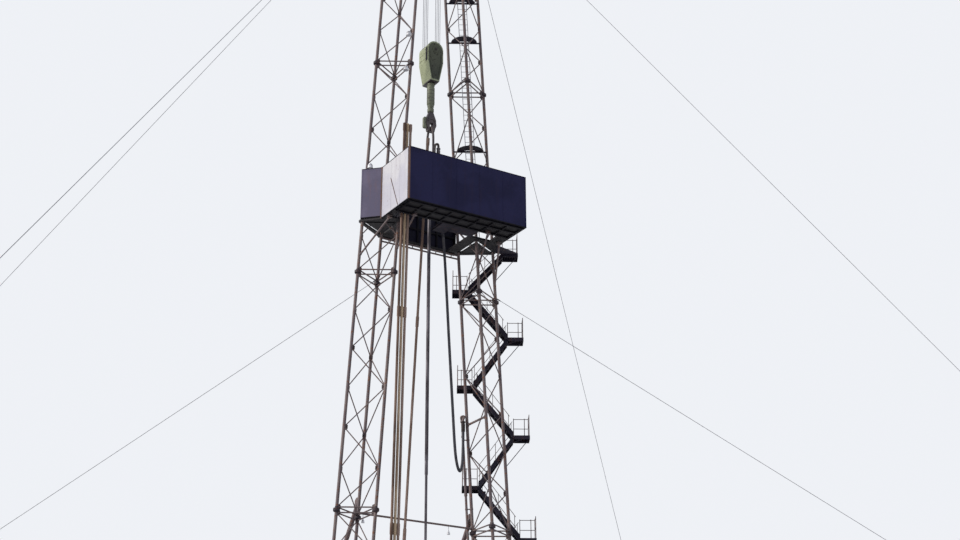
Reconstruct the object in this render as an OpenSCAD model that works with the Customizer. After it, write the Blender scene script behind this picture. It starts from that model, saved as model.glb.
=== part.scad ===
// Two-legged oil drilling rig with guyed mast, as a 1:2 scale model.
// Origin on the ground under the well axis, X from leg to leg, Y to the back, Z up.

/* [Mast] */
// Height of the rig floor above the ground
floor_z = 3150; // [3050:10:3250]
// Height of one leg section
section_h = 5500; // [5400:10:5600]
// Distance of a leg's middle from the well at the rig floor
leg_base_x = 2015; // [1960:5:2040]
// Distance of a leg's middle from the well at the top
leg_top_x = 705; // [695:5:740]
// Side of a leg's triangle between chord centres
leg_side = 825; // [810:1:835]
// Diameter of a leg chord
chord_d = 72; // [66:1:80]
// Diameter of a leg brace
brace_d = 26; // [22:1:32]
// Diameter of the flange that joins two leg sections
flange_d = 150; // [130:1:160]
// Thickness of a leg flange
flange_h = 30; // [26:1:34]
// Number of braced panels in a leg section
panels = 6; // [5:1:6]

/* [Substructure] */
// Half width of the rig floor
floor_half_x = 3200; // [3150:10:3250]
// Distance of the rig floor's front edge from the well
floor_front = 2300; // [2250:10:2350]
// Distance of the rig floor's back edge from the well
floor_back = 4900; // [4850:10:4950]
// Depth of the beams under the rig floor
beam_h = 220; // [200:5:240]
// Height of a skid beam
skid_h = 300; // [280:5:320]

/* [Balcony] */
// Height of the balcony's underside over the middle leg flanges
balcony_rise = 1250; // [1230:5:1270]
// Distance of the balcony's right wall from the well
balcony_right_x = 1600; // [1590:2:1620]
// Distance of the balcony's left wall from the well
balcony_left_x = 1460; // [1450:2:1480]
// Distance of the balcony's front wall from the well
balcony_front = 1650; // [1630:5:1670]
// Height of the balcony's walls
wall_h = 1300; // [1260:5:1340]
// Thickness of a balcony wall
wall_t = 30; // [24:1:36]

/* [Stair] */
// Width of the stair
stair_w = 350; // [330:5:360]
// Number of treads in a flight
treads = 9; // [8:1:10]
// Height of a handrail
rail_h = 500; // [480:5:520]

/* [Hoist] */
// Height of the travelling block's top over the middle leg flanges
block_rise = 6460; // [6400:10:6500]
// Height of the travelling block's housing
block_h = 1090; // [1070:5:1110]
// Width of the travelling block's housing
block_w = 430; // [420:5:440]
// Diameter of the kelly across its corners
kelly_d = 88; // [80:1:92]
// Diameter of a drill pipe
pipe_d = 58; // [54:1:62]
// Diameter of the rotary hose
hose_d = 65; // [60:1:68]

/* [Guys] */
// Distance of a guy anchor from the well along X
anchor_x = 17500; // [17000:100:18000]
// Distance of a guy anchor from the well along Y
anchor_y = 12000; // [11500:100:12500]
// Diameter of a guy rope
guy_d = 12; // [10:1:14]

/* [Hidden] */

steel = [0.33, 0.30, 0.30];
dark = [0.16, 0.16, 0.20];

foot_h = 200;
leg_h = 4 * section_h;
top_z = floor_z + leg_h;
mid_z = floor_z + 2 * section_h;
leg_slope = (leg_top_x - leg_base_x) / leg_h;
leg_in = leg_side / (2 * sqrt(3));
leg_out = leg_side / sqrt(3);
half_side = leg_side / 2;
deck_t = 60;
// Clearance between pieces that rest on each other
seat = 0.3;
post_w = 150;
post_xs = [150 - floor_half_x, -1850, 1850, floor_half_x - 150];
post_ys = [150 - floor_front, 0, 2375, floor_back - 150];
balcony_z = mid_z + balcony_rise;
balcony_t = 50;
balcony_back = 560;
block_top = mid_z + block_rise;
block_bottom = block_top - block_h;
// Top of the swivel's bail
bail_z = block_bottom - 1180;

// Distance of a leg's middle from the well at height z
function leg_x(z) = leg_base_x + leg_slope * (z - floor_z);
// Centre of chord i of the leg on side s: 0 front, 1 back, 2 outer
function chord(s, i, z) = [s * (leg_x(z) + (i == 2 ? leg_out : -leg_in)),
    i == 0 ? -half_side : i == 1 ? half_side : 0, z];
// Point between two others
function between(a, b, t) = a + (b - a) * t;
// Points of an arc round a centre
function arc(c, r, from, to, n) =
    [for (i = [0 : n]) c + r * [cos(from + (to - from) * i / n), sin(from + (to - from) * i / n)]];

// A straight bar of n flat sides from a to b
module bar(a, b, d, n = 6) {
    v = b - a;
    translate(a) rotate([0, acos(v.z / norm(v)), atan2(v.y, v.x)]) cylinder(h = norm(v), d = d, $fn = n);
}

// A box given by its low and high corners
module block(low, high) {
    translate(low) cube(high - low);
}

// The room that one leg's chords take up in pieces that meet them
module leg_chords(s, low, high) {
    for (i = [0 : 2]) bar(chord(s, i, low), chord(s, i, high), chord_d + 2 * seat, 12);
}

// What is left of a piece outside the chords of both legs
module outside_legs(low, high) {
    difference() {
        children();
        for (s = [-1, 1]) leg_chords(s, low, high);
    }
}

// Height over its lower flanges of one more level bar in the right leg's second section
extra_bar_rise = 2500;
// One section of a leg: chords, end flanges, level bars at the ends and a zigzag of bars on each side
module leg_section(s, number) {
    low = number == 1 ? floor_z + foot_h : floor_z + (number - 1) * section_h;
    high = floor_z + number * section_h;
    step = (high - low) / panels;
    inset = 2 * flange_h;
    function level(k) = k == 0 ? low + inset : k == panels ? high - inset : low + k * step;
    color(steel) union() {
        for (i = [0 : 2]) {
            bar(chord(s, i, low + flange_h / 2), chord(s, i, high - flange_h / 2), chord_d, 12);
            translate(chord(s, i, low)) cylinder(h = flange_h, d = flange_d, $fn = 12);
            translate(chord(s, i, high)) translate([0, 0, -flange_h])
                cylinder(h = flange_h, d = flange_d, $fn = 12);
        }
        for (k = [0, panels], i = [0 : 2])
            bar(chord(s, i, level(k)), chord(s, (i + 1) % 3, level(k)), brace_d + 6);
        for (k = [0 : panels - 1], pair = [[1, 2], [2, 0], [1, 0]])
            bar(chord(s, pair[k % 2], level(k)), chord(s, pair[(k + 1) % 2], level(k + 1)), brace_d);
        if (s > 0 && number == 2)
            bar(chord(s, 1, low + extra_bar_rise), chord(s, 0, low + extra_bar_rise), 2 * brace_d);
    }
}
module left_leg_section_1() leg_section(-1, 1);
module left_leg_section_2() leg_section(-1, 2);
module left_leg_section_3() leg_section(-1, 3);
module left_leg_section_4() leg_section(-1, 4);
module right_leg_section_1() leg_section(1, 1);
module right_leg_section_2() leg_section(1, 2);
module right_leg_section_3() leg_section(1, 3);
module right_leg_section_4() leg_section(1, 4);

// The three shoes under each leg, on one base plate
module leg_feet() {
    plate_t = 40;
    top = floor_z + foot_h;
    color(steel) for (s = [-1, 1]) {
        for (i = [0 : 2]) translate([chord(s, i, top).x, chord(s, i, top).y, floor_z + plate_t])
            cylinder(h = foot_h - plate_t, d = 110, $fn = 12);
        translate([0, 0, floor_z]) linear_extrude(plate_t) polygon([
            for (q = [[-leg_in - 130, -half_side - 90], [leg_out + 90, -60], [leg_out + 90, 60],
                [-leg_in - 130, half_side + 90]]) [s * (leg_x(top) + q.x), q.y]]);
    }
}

// Skid beams on the ground, of I section
module i_beam(length, height, width) {
    web = width / 8;
    flange = height / 10;
    rotate([90, 0, 0]) translate([0, 0, -length]) linear_extrude(length) polygon([
        [-width / 2, 0], [width / 2, 0], [width / 2, flange], [web, flange],
        [web, height - flange], [width / 2, height - flange], [width / 2, height], [-width / 2, height],
        [-width / 2, height - flange], [-web, height - flange], [-web, flange], [-width / 2, flange]]);
}
module base_skids() {
    color(dark) for (x = post_xs) translate([x, -floor_front, 0])
        i_beam(floor_front + floor_back, skid_h, 220);
}

// The posts between skids and floor beams
module substructure_posts() {
    color(dark) for (x = post_xs, y = post_ys)
        block([x - post_w / 2, y - post_w / 2, skid_h],
            [x + post_w / 2, y + post_w / 2, floor_z - deck_t - beam_h]);
}

// Crossed bracing in the side, front and back bays of the substructure
module cross_brace(a, b) {
    low = skid_h + 120;
    high = floor_z - deck_t - beam_h - 120;
    bar([a.x, a.y, low], [b.x, b.y, high], 60);
    bar([a.x, a.y, high], [b.x, b.y, low], 60);
}
module substructure_bracing() {
    color(dark) difference() {
        union() {
            for (x = post_xs, k = [0 : 2]) cross_brace([x, post_ys[k]], [x, post_ys[k + 1]]);
            for (y = post_ys, k = [0, 2]) cross_brace([post_xs[k], y], [post_xs[k + 1], y]);
        }
        substructure_posts();
    }
}

// The grid of beams that carries the rig floor, with two more beams beside the rotary table
module floor_beams() {
    top = floor_z - deck_t;
    gap = 80;
    spans = [[-floor_half_x, post_xs[0] - gap], [post_xs[0] + gap, post_xs[1] - gap],
        [post_xs[2] + gap, post_xs[3] - gap], [post_xs[3] + gap, floor_half_x]];
    inner = post_xs[2] - gap;
    color(dark) {
        for (x = post_xs) block([x - 75, -floor_front, top - beam_h], [x + 75, floor_back, top]);
        for (y = post_ys, q = spans) block([q[0], y - 75, top - beam_h], [q[1], y + 75, top]);
        for (y = [post_ys[0], -480, 480, post_ys[2], post_ys[3]])
            block([-inner, y - 60, top - beam_h], [inner, y + 60, top]);
    }
}

// The deck, with a square opening that the rotary table fills
rotary_half = 345;
module rig_floor() {
    low = floor_z - deck_t;
    joint = seat;
    color([0.28, 0.27, 0.27]) {
        block([-floor_half_x, -floor_front, low], [floor_half_x, -rotary_half, floor_z]);
        block([-floor_half_x, rotary_half, low], [floor_half_x, floor_back, floor_z]);
        for (s = [0, 1]) mirror([s, 0, 0])
            block([rotary_half, joint - rotary_half, low], [floor_half_x, rotary_half - joint, floor_z]);
    }
}

// The rotary table, with the bore that the drill string turns in
module rotary_table() {
    color(dark) difference() {
        union() {
            block([-rotary_half, -rotary_half, floor_z - deck_t], [rotary_half, rotary_half, floor_z]);
            translate([0, 0, floor_z - 240]) cylinder(h = 240, d = 560);
            translate([0, 0, floor_z]) cylinder(h = 45, d = 480);
        }
        translate([0, 0, floor_z - 300]) cylinder(h = 500, d = 180);
    }
}

// Rails round the edge of the deck, open at the stair
module rail_run(a, b, spaces) {
    up = [0, 0, rail_h];
    for (k = [0 : spaces]) bar(between(a, b, k / spaces), between(a, b, k / spaces) + up, 24);
    for (f = [0.5, 1]) bar(a + f * up, b + f * up, 24);
}
stair_gap = [3650, 4450];
module floor_handrails() {
    edge_x = floor_half_x - 30;
    front = -floor_front + 30;
    back = floor_back - 30;
    end = 20;
    color([0.45, 0.42, 0.20]) {
        rail_run([end - edge_x, front, floor_z], [edge_x - end, front, floor_z], 6);
        rail_run([end - edge_x, back, floor_z], [edge_x - end, back, floor_z], 6);
        rail_run([edge_x, front + end, floor_z], [edge_x, back - end, floor_z], 6);
        rail_run([-edge_x, front + end, floor_z], [-edge_x, stair_gap[0], floor_z], 5);
        rail_run([-edge_x, stair_gap[1], floor_z], [-edge_x, back - end, floor_z], 1);
    }
}

// The straight stair from the ground to the deck, on the left side
ground_steps = 24;
ground_run = 115;
ground_start = -floor_half_x - ground_steps * ground_run;
board_t = 20;
module ground_stair_boards() {
    for (y = [stair_gap[0], stair_gap[1] - board_t]) translate([0, y + board_t, 0]) rotate([90, 0, 0])
        linear_extrude(board_t) polygon([[ground_start - 60, 0], [ground_start + 90, 0],
            [-floor_half_x, floor_z - 160], [-floor_half_x, floor_z], [-floor_half_x - 30, floor_z]]);
}
module ground_stair_treads() {
    for (k = [1 : ground_steps]) translate([ground_start + (k - 1) * ground_run, stair_gap[0] + board_t,
        k * floor_z / (ground_steps + 1) - 12])
        cube([ground_run + 10, stair_gap[1] - stair_gap[0] - 2 * board_t, 12]);
}

// A strut from the back chord of each leg down to the deck
strut_top_z = floor_z + section_h + 400;
strut_foot_y = floor_back - 300;
module rear_strut(s) {
    top = chord(s, 1, strut_top_z);
    foot = [top.x, strut_foot_y, floor_z + 90];
    color(steel) union() {
        difference() {
            union() {
                bar(top, foot, 100, 12);
                block([top.x - 20, half_side, strut_top_z - 130],
                    [top.x + 20, half_side + 170, strut_top_z + 60]);
            }
            leg_chords(s, strut_top_z - 400, strut_top_z + 400);
        }
        block([top.x - 130, strut_foot_y - 130, floor_z], [top.x + 130, strut_foot_y + 130, floor_z + 40]);
        block([top.x - 60, strut_foot_y - 60, floor_z], [top.x + 60, strut_foot_y + 60, floor_z + 150]);
    }
}
module left_rear_strut() rear_strut(-1);
module right_rear_strut() rear_strut(1);

// The pipe that ties the back chords together at the lower flanges, with two hanging lamps
module lower_belt() {
    z = floor_z + section_h + 105;
    a = chord(-1, 1, z);
    b = chord(1, 1, z);
    color(steel) union() {
        outside_legs(z - 300, z + 300) bar(a, b, 44);
        for (x = [-1320, 820]) {
            bar([x, half_side, z], [x, half_side, z - 120], 14);
            translate([x, half_side, z - 200]) cylinder(h = 90, d = 70, $fn = 12);
        }
    }
}

// The double pipe under the balcony's back edge
module upper_belt() {
    z = balcony_z - 160;
    color(steel) outside_legs(z - 300, z + 300) union() {
        for (dz = [0, 90]) bar(chord(-1, 1, z + dz), chord(1, 1, z + dz), 40);
        for (k = [1 : 9]) bar(between(chord(-1, 1, z), chord(1, 1, z), k / 10),
            between(chord(-1, 1, z + 90), chord(1, 1, z + 90), k / 10), 24);
    }
}

// Outline of the balcony, from the front right corner round to the front left one
leg_mid = leg_x(balcony_z);
function wall_x(s) = s > 0 ? balcony_right_x : -balcony_left_x;
function door_a(s) = [wall_x(s), -400];
function door_b(s) = [s * (leg_mid + leg_out + 60), -30];
back_a = [leg_mid + leg_out + 60, 60];
back_b = [leg_mid - leg_in, balcony_back];
function mirrored(p) = [-p.x, p.y];
module balcony_outline() {
    polygon([[balcony_right_x, -balcony_front], door_a(1), door_b(1), back_a, back_b,
        mirrored(back_b), mirrored(back_a), door_b(-1), door_a(-1), [-balcony_left_x, -balcony_front]]);
}
// The hole round a leg in the balcony's floor
module leg_hole(s) {
    polygon([[s * (leg_mid - leg_in - 30), -half_side - 52], [s * (leg_mid + leg_out + 10), -29],
        [s * (leg_mid + leg_out + 10), 29], [s * (leg_mid - leg_in - 30), half_side + 52]]);
}
leg_gap_x = leg_mid - leg_in - 30;
// Distance from the well to the back edge of the balcony's front walkway
floor_edge = 1000;
rack_pitch = 80;
module balcony_floor() {
    joint = seat;
    side_y = [-floor_edge, -560, -466, 480];
    color([0.27, 0.22, 0.20]) outside_legs(balcony_z - 200, balcony_z + 200)
        translate([0, 0, balcony_z]) {
            floor_plate([-2000, -2000], [2000, side_y[0]]);
            for (s = [-1, 1]) {
                floor_plate([s * 1330, side_y[0] + joint], [s * 2000, side_y[1] - joint]);
                floor_plate([s * 760, side_y[1]], [s * 2000, side_y[2] - joint]);
                floor_plate([s * 760, side_y[2]], [s * leg_gap_x, side_y[3]]);
                floor_plate([s * (leg_gap_x + joint), side_y[2]], [s * 2000, side_y[3]]);
            }
            floor_plate([-2000, side_y[3] + joint], [2000, 700]);
            for (s = [-1, 1]) leg_floor(s);
        }
}
// The balcony's floor inside a leg, clear of the bracing and carried by lugs at the chords
module leg_floor(s) {
    inset = 45;
    lug = 24;
    mid = [s * leg_mid, 0];
    corners = [for (i = [0 : 2]) let (p = chord(s, i, balcony_z)) [p.x, p.y]];
    linear_extrude(balcony_t - 10) {
        polygon([for (c = corners) between(mid, c, 1 - 2 * inset / leg_out)]);
        for (c = corners) {
            side = [mid.y - c.y, c.x - mid.x] / norm(c - mid) * lug / 2;
            polygon([mid - side, mid + side, c + side, c - side]);
        }
    }
}
// The part of the balcony's floor inside a rectangle given by two corners
module floor_plate(low, high) {
    linear_extrude(balcony_t) difference() {
        intersection() {
            balcony_outline();
            polygon([low, [high.x, low.y], high, [low.x, high.y]]);
        }
        for (s = [-1, 1]) leg_hole(s);
    }
}

// The fingers that part the racked stands, and the board that the derrickman stands on
module finger_board() {
    front = seat - floor_edge;
    color(dark) {
        for (k = [0 : 3]) block([-1278 + k * rack_pitch, front, balcony_z],
            [-1260 + k * rack_pitch, -565, balcony_z + balcony_t]);
        block([-180, front, balcony_z], [180, -420, balcony_z + balcony_t]);
        block([180 + seat, front, balcony_z], [800, -565, balcony_z + balcony_t]);
    }
}

// Stands of drill pipe that lean in the fingers
module stand(foot, head) {
    v = head - foot;
    length = norm(v);
    tilt = acos(v.z / length);
    translate(foot + [0, 0, pipe_d / 2 * sin(tilt) + seat]) rotate([0, tilt, atan2(v.y, v.x)]) union() {
        cylinder(h = length, d = pipe_d, $fn = 12);
        for (k = [0 : 2]) translate([0, 0, k * length / 3 + 40]) cylinder(h = 260, d = pipe_d + 16, $fn = 12);
        translate([0, 0, length - 200]) cylinder(h = 200, d = pipe_d + 16, $fn = 12);
    }
}
stand_h = 14550;
// Distances of the stands' feet from the well, and how far their heads lean inwards
rack_x = 1315;
rack_y = 900;
rack_lean = 197;
lone_foot = [-1070, -560];
lone_head = [-350, -520];
module racked_pipes() {
    color([0.42, 0.36, 0.24]) {
        for (k = [-1 : 1])
            stand([rack_pitch * k - rack_x, -rack_y, floor_z],
                [rack_pitch * k - rack_x + rack_lean, -rack_y, floor_z + stand_h]);
        stand([lone_foot.x, lone_foot.y, floor_z], [lone_head.x, lone_head.y, floor_z + stand_h]);
    }
}

// The balcony's walls stand on its edge and hide it from the side
module balcony_front_wall() {
    color([0.12, 0.14, 0.30]) translate([-balcony_left_x - wall_t, -balcony_front - wall_t, balcony_z])
        cube([balcony_left_x + balcony_right_x + 2 * wall_t, wall_t, wall_h]);
}
module side_wall(s) {
    translate([wall_x(s) - (s > 0 ? 0 : wall_t), -balcony_front, balcony_z])
        cube([wall_t, balcony_front - 400, wall_h]);
}
module balcony_left_wall() color([0.72, 0.72, 0.76]) side_wall(-1);
module balcony_right_wall() color([0.20, 0.21, 0.34]) side_wall(1);
// A wall panel of constant thickness outside the line from a to b
module panel(a, b, low, high) {
    n = [b.y - a.y, a.x - b.x] / norm(b - a) * wall_t;
    translate([0, 0, low]) linear_extrude(high - low) polygon([a, b, b + n, a + n]);
}
module balcony_corner_panels() {
    color([0.30, 0.30, 0.46]) {
        panel(door_b(-1), door_a(-1) + [0, 0.735 * wall_t], balcony_z + balcony_t + seat, balcony_z + wall_h);
        panel(door_a(1) + [0, 0.527 * wall_t], door_b(1), balcony_z + 1050, balcony_z + wall_h);
    }
}
module balcony_back_wall() {
    x = back_b.x;
    color([0.13, 0.14, 0.22]) translate([-x, balcony_back, balcony_z]) cube([2 * x, wall_t, wall_h]);
}

// Knee braces from the legs to the balcony's floor
module balcony_braces() {
    color(steel) for (s = [-1, 1]) difference() {
        pad_z = balcony_z - 40;
        union() {
            bar(chord(s, 0, mid_z + 560), [s * 975, -1040, pad_z], 44);
            bar(chord(s, 2, mid_z + 400), [wall_x(s) - s * 60, -640, pad_z], 44);
            for (pad = [[s * 975, -1040], [wall_x(s) - s * 60, -640]])
                block([pad.x - 50, pad.y - 39, pad_z - 15], [pad.x + 50, pad.y + 39, balcony_z - seat]);
        }
        leg_chords(s, mid_z - 200, balcony_z + 200);
    }
}

// The zigzag stair stands off the back-outer side of the right leg.
// u runs from the back chord to beyond the outer chord, n away from the leg.
stair_u = [sqrt(3) / 2, -0.5];
stair_n = [0.5, sqrt(3) / 2];
stair_n3 = [stair_n.x, stair_n.y, 0];
stair_off = 75;
landing_l = 375;
far_u = 1250;
top_landing_z = balcony_z + balcony_t;
flight_h = 1185;
// Corner of the stair's ground plan at height z
function stair_xy(u, n, z) = [chord(1, 1, z).x, half_side] + u * stair_u + n * stair_n;
function stair_pt(u, n, z) = [stair_xy(u, n, z).x, stair_xy(u, n, z).y, z];
// Height of landing k, counted down from the balcony; even ones are beyond the outer chord
function landing_z(k) = top_landing_z - k * flight_h + (k == 0 ? 0 : 235);
function landing_u(k) = k % 2 == 0 ? far_u : 0;
landings = 11;
landing_t = 90;
module stair_box(u0, u1, n0, n1, z, t, at) {
    translate([0, 0, z - t]) linear_extrude(t) polygon([
        stair_xy(u0, n0, at), stair_xy(u1, n0, at), stair_xy(u1, n1, at), stair_xy(u0, n1, at)]);
}
module stair_landings() {
    color(dark) for (k = [0 : landings - 1]) {
        z = landing_z(k);
        outer = k % 2 == 0;
        u = landing_u(k);
        half = landing_l / 2;
        outside_legs(z - 1000, z + 300) {
            if (outer && k > 0) bar(chord(1, 2, z - 280), stair_pt(u, stair_off + 40, z - landing_t + 5), 20);
            if (!outer)
                bar(chord(1, 1, z - landing_t / 2), stair_pt(u, stair_off + 3, z - landing_t / 2), 24);
            if (outer && k < landings - 1)
                bar(chord(1, 2, z - 780), stair_pt(u + half - 30, stair_off + 60, z - landing_t + 5), 18);
            stair_box(u - half, u + half, stair_off, stair_off + stair_w, z, landing_t, z);
            if (k == 0) translate([0, 0, z - 40]) linear_extrude(40) polygon([door_b(1), door_a(1),
                stair_xy(u + half, stair_off, z), stair_xy(u - half, stair_off, z)]);
        }
    }
}
// The flight below landing k - 1, down to landing k or to the deck
function flight_low_z(k) = k == landings ? floor_z : landing_z(k);
function flight_side(k) = k % 2 == 0 ? 1 : -1;
function flight_start_u(k) = landing_u(k - 1) + flight_side(k) * landing_l / 2;
function flight_end_u(k) = k == landings ? flight_start_u(k) - 560
    : landing_u(k) - flight_side(k) * landing_l / 2;
stringer_t = 12;
module stair_treads() {
    color(dark) ground_stair_treads();
    color(dark) for (k = [1 : landings]) {
        high = landing_z(k - 1);
        low = flight_low_z(k);
        count = round((high - low) / (flight_h / (treads + 1))) - 1;
        for (i = [1 : count]) {
            t = i / (count + 1);
            z = low + t * (high - low);
            u = flight_end_u(k) + t * (flight_start_u(k) - flight_end_u(k));
            stair_box(u - 50, u + 50, stair_off + stringer_t, stair_off + stair_w - stringer_t,
                z, 10, (high + low) / 2);
        }
    }
}
// How far the stair follows the leg's slope over a rise
function leg_shift(rise) = stair_u.x * leg_slope * rise;
// A flat board in the stair's plane between two points, with upright ends
module stringer(k, n) {
    high = landing_z(k - 1);
    low = flight_low_z(k);
    at = (high + low) / 2;
    u0 = flight_end_u(k) + leg_shift(low - at);
    u1 = flight_start_u(k) + leg_shift(high - at);
    foot = k == landings ? 0 : landing_t;
    base = stair_xy(0, n, at);
    translate([base.x, base.y, 0]) rotate([0, 0, -30]) rotate([90, 0, 0])
        translate([0, 0, -stringer_t]) linear_extrude(stringer_t)
        polygon([[u0, low - foot], [u0, low + 70], [u1, high + 15], [u1, high - 120]]);
}
module stair_stringers() {
    color(dark) {
        for (k = [1 : landings], n = [stair_off, stair_off + stair_w - stringer_t]) stringer(k, n);
        ground_stair_boards();
    }
}
// Posts and rails on the stair's outer side and round the ends of the landings
rail_levels = [0.5, 0.96];
module stair_handrails() {
    d = 20;
    n1 = stair_off + stair_w - 16;
    n0 = stair_off + 16;
    free = d + 2;
    up = [0, 0, rail_h];
    color(dark) for (k = [0 : landings - 1]) {
        z = landing_z(k);
        side = k % 2 == 0 ? 1 : -1;
        far = landing_u(k) + side * (landing_l / 2 - 16);
        near = landing_u(k) - side * (landing_l / 2 - 16);
        union() {
            for (u = [near, far - side * 90]) bar(stair_pt(u, n1, z), stair_pt(u, n1, z) + up, d);
            for (f = rail_levels)
                bar(stair_pt(near - side * 6, n1, z) + f * up,
                    stair_pt(far - side * free, n1, z) + f * up, d - 4);
        }
        union() {
            for (n = [n0, n1]) bar(stair_pt(far, n, z), stair_pt(far, n, z) + up, d);
            for (f = rail_levels)
                bar(stair_pt(far, n0 - 6, z) + f * up, stair_pt(far, n1 + 6, z) + f * up, d - 4);
        }
        flight_rail(k + 1);
    }
}
// The rail of one flight, on posts bolted to the outer board
module flight_rail(k) {
    high = landing_z(k - 1);
    low = flight_low_z(k);
    at = (high + low) / 2;
    n = stair_off + stair_w;
    post = 14;
    function u_at(t) = flight_end_u(k) + t * (flight_start_u(k) - flight_end_u(k));
    function z_at(t) = low + t * (high - low);
    function rail_pt(t, lift) = [stair_xy(u_at(t), n + post / 2, at).x, stair_xy(u_at(t), n + post / 2, at).y,
        z_at(t) + lift];
    union() {
        for (t = [0.08, 0.5, 0.92]) translate([0, 0, z_at(t)]) linear_extrude(rail_h) polygon([
            stair_xy(u_at(t) - 10, n, at), stair_xy(u_at(t) + 10, n, at),
            stair_xy(u_at(t) + 10, n + post, at), stair_xy(u_at(t) - 10, n + post, at)]);
        for (lift = [rail_h / 2, rail_h]) bar(rail_pt(0.05, lift), rail_pt(0.95, lift), post);
    }
}

// The ladder inside the upper right leg
module leg_ladder() {
    low = balcony_z + balcony_t;
    high = top_z - 60;
    function rail_at(z, u) = [chord(1, 1, z).x, half_side, z]
        + [stair_u.x, stair_u.y, 0] * (leg_side / 2 + u) - 75 * stair_n3;
    steps = floor((high - low) / 150);
    color(dark) union() {
        for (u = [-110, 110]) bar(rail_at(low, u), rail_at(high, u), 18);
        for (k = [1 : steps]) bar(rail_at(low + k * 150, -110), rail_at(low + k * 150, 110), 12);
        for (k = [1 : 2 : 21], side = [-1, 1]) {
            foot = rail_at(between(low, high, k / 22), side * 110);
            bar(foot, foot + 60 * stair_n3, 14);
        }
        for (rise = [-60, 60], side = [-1, 1]) {
            foot = rail_at(mid_z + section_h + rise, side * 110);
            bar(foot, foot + (75 - brace_d / 2 - 1.2 - seat) * stair_n3, 14);
        }
    }
}

// Semi-round rest platforms inside the upper right leg
rest_zs = [3920, 6950, 8095];
module rest_platforms() {
    color(dark) for (rise = rest_zs) {
        z = mid_z + rise;
        a = chord(1, 1, z);
        length = leg_side;
        translate([a.x, a.y, z]) rotate([0, 0, -30]) difference() {
            union() {
                linear_extrude(12) difference() {
                    polygon(arc([length / 2, -25], 330, 180, 360, 12));
                    translate([length / 2 - 125, -100]) square([250, 40]);
                }
                translate([0, -60, -24]) cube([length, 40, 24]);
                translate([length / 2 - 20, -length * sqrt(3) / 2, -24])
                    cube([40, length * sqrt(3) / 2 - 200, 24]);
            }
            rotate([0, 0, 30]) translate([-a.x, -a.y, -z]) leg_chords(1, z - 300, z + 300);
        }
    }
}

// Lamps on brackets on the left leg: chord, height over the middle flanges, direction
lamp_spots = [[0, section_h - 150, [-0.96, -0.28, 0]], [0, section_h + 830, [-0.96, -0.28, 0]],
    [2, balcony_rise + wall_h + 130, [0, -1, 0]]];
module floodlights() {
    color([0.75, 0.76, 0.80]) for (q = lamp_spots) {
        c = chord(-1, q[0], mid_z + q[1]);
        head = c + q[2] * 150;
        difference() {
            union() {
                bar(c, head, 16);
                translate(head - [0, 0, 100]) cylinder(h = 120, d = 130, $fn = 16);
            }
            leg_chords(-1, c.z - 300, c.z + 300);
        }
    }
}

// The frame on the leg tops
module crown_frame() {
    color(steel) union() {
        for (y = [-half_side, half_side]) block([-1250, y - 60, top_z], [1250, y + 60, top_z + 250]);
        for (x = [-1190, -450, 450, 1190])
            block([x - 60, -half_side, top_z], [x + 60, half_side, top_z + 250]);
    }
}
module crown_platform() {
    z = top_z + 250;
    color(dark) difference() {
        block([-1600, -900, z], [1600, 900, z + 30]);
        block([-520, -330, z - 1], [520, 330, z + 31]);
    }
}
// Sheaves on the crown's pin
crown_pin_z = top_z + 520;
sheave_r = 190;
groove_r = 168;
rope_d = 14;
rope_x = groove_r + rope_d / 2 + seat;
sheave_ys = [-112.5, -37.5, 37.5, 112.5];
module sheave(y, z) {
    translate([0, y, z]) rotate([90, 0, 0]) translate([0, 0, -25]) rotate_extrude($fn = 64)
        polygon([[20, 0], [sheave_r, 0], [sheave_r, 8], [groove_r, 15], [groove_r, 35],
            [sheave_r, 42], [sheave_r, 50], [20, 50]]);
}
module crown_sheaves() {
    color(dark) union() {
        for (y = sheave_ys) sheave(y, crown_pin_z);
        translate([0, 240, crown_pin_z]) rotate([90, 0, 0]) cylinder(h = 480, d = 60);
        for (y = [-240, 200]) {
            block([-80, y, top_z + 260], [80, y + 40, crown_pin_z + 60]);
            block([-510, y, top_z + 250 + seat], [510, y + 40, top_z + 350]);
        }
    }
}
module gin_pole() {
    z = top_z + 280;
    apex = [0, 0, z + 1500];
    color(steel) union() {
        for (x = [-1300, 1300], y = [-700, 700]) {
            bar([x, y, z + 20], apex + [sign(x) * 120, 0, 0], 50);
            block([x - 60, y - 60, z + seat], [x + 60, y + 60, z + 20]);
        }
        bar(apex - [300, 0, 0], apex + [300, 0, 0], 60);
    }
}

// The hose hangs from the swivel's gooseneck and rises again to the standpipe's
hose_route = [[230, 0, 17800], [235, 0, 17500], [270, -10, 16600], [390, -60, 15000], [520, -60, 13000],
    [650, -20, 11400], [760, 50, 10450], [870, 130, 10080], [1010, 240, 9990], [1120, 330, 10200],
    [1165, 372, 10600], [1180, 390, 10950], [1182, 395, 11200]];

// The standpipe beside the right leg's back chord, with its gooseneck
hose_end = hose_route[len(hose_route) - 1];
standpipe_top = hose_end.z + 40;
module standpipe() {
    d = 56;
    function beside(z) = chord(1, 1, z) + [-95, 60, 0];
    top = beside(standpipe_top);
    color(steel) union() {
        bar(beside(floor_z + 42), top, d, 12);
        bend = [top + [-40, -25, 90], [hose_end.x + 40, hose_end.y + 25, top.z + 110],
            hose_end + [0, 0, 60], hose_end];
        bar(top, bend[0], d, 12);
        for (k = [0 : 2]) bar(bend[k], bend[k + 1], d, 12);
        for (z = [4400 : 1600 : standpipe_top]) difference() {
            bar(beside(z), chord(1, 1, z), 30);
            leg_chords(1, z - 200, z + 200);
        }
    }
}

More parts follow.
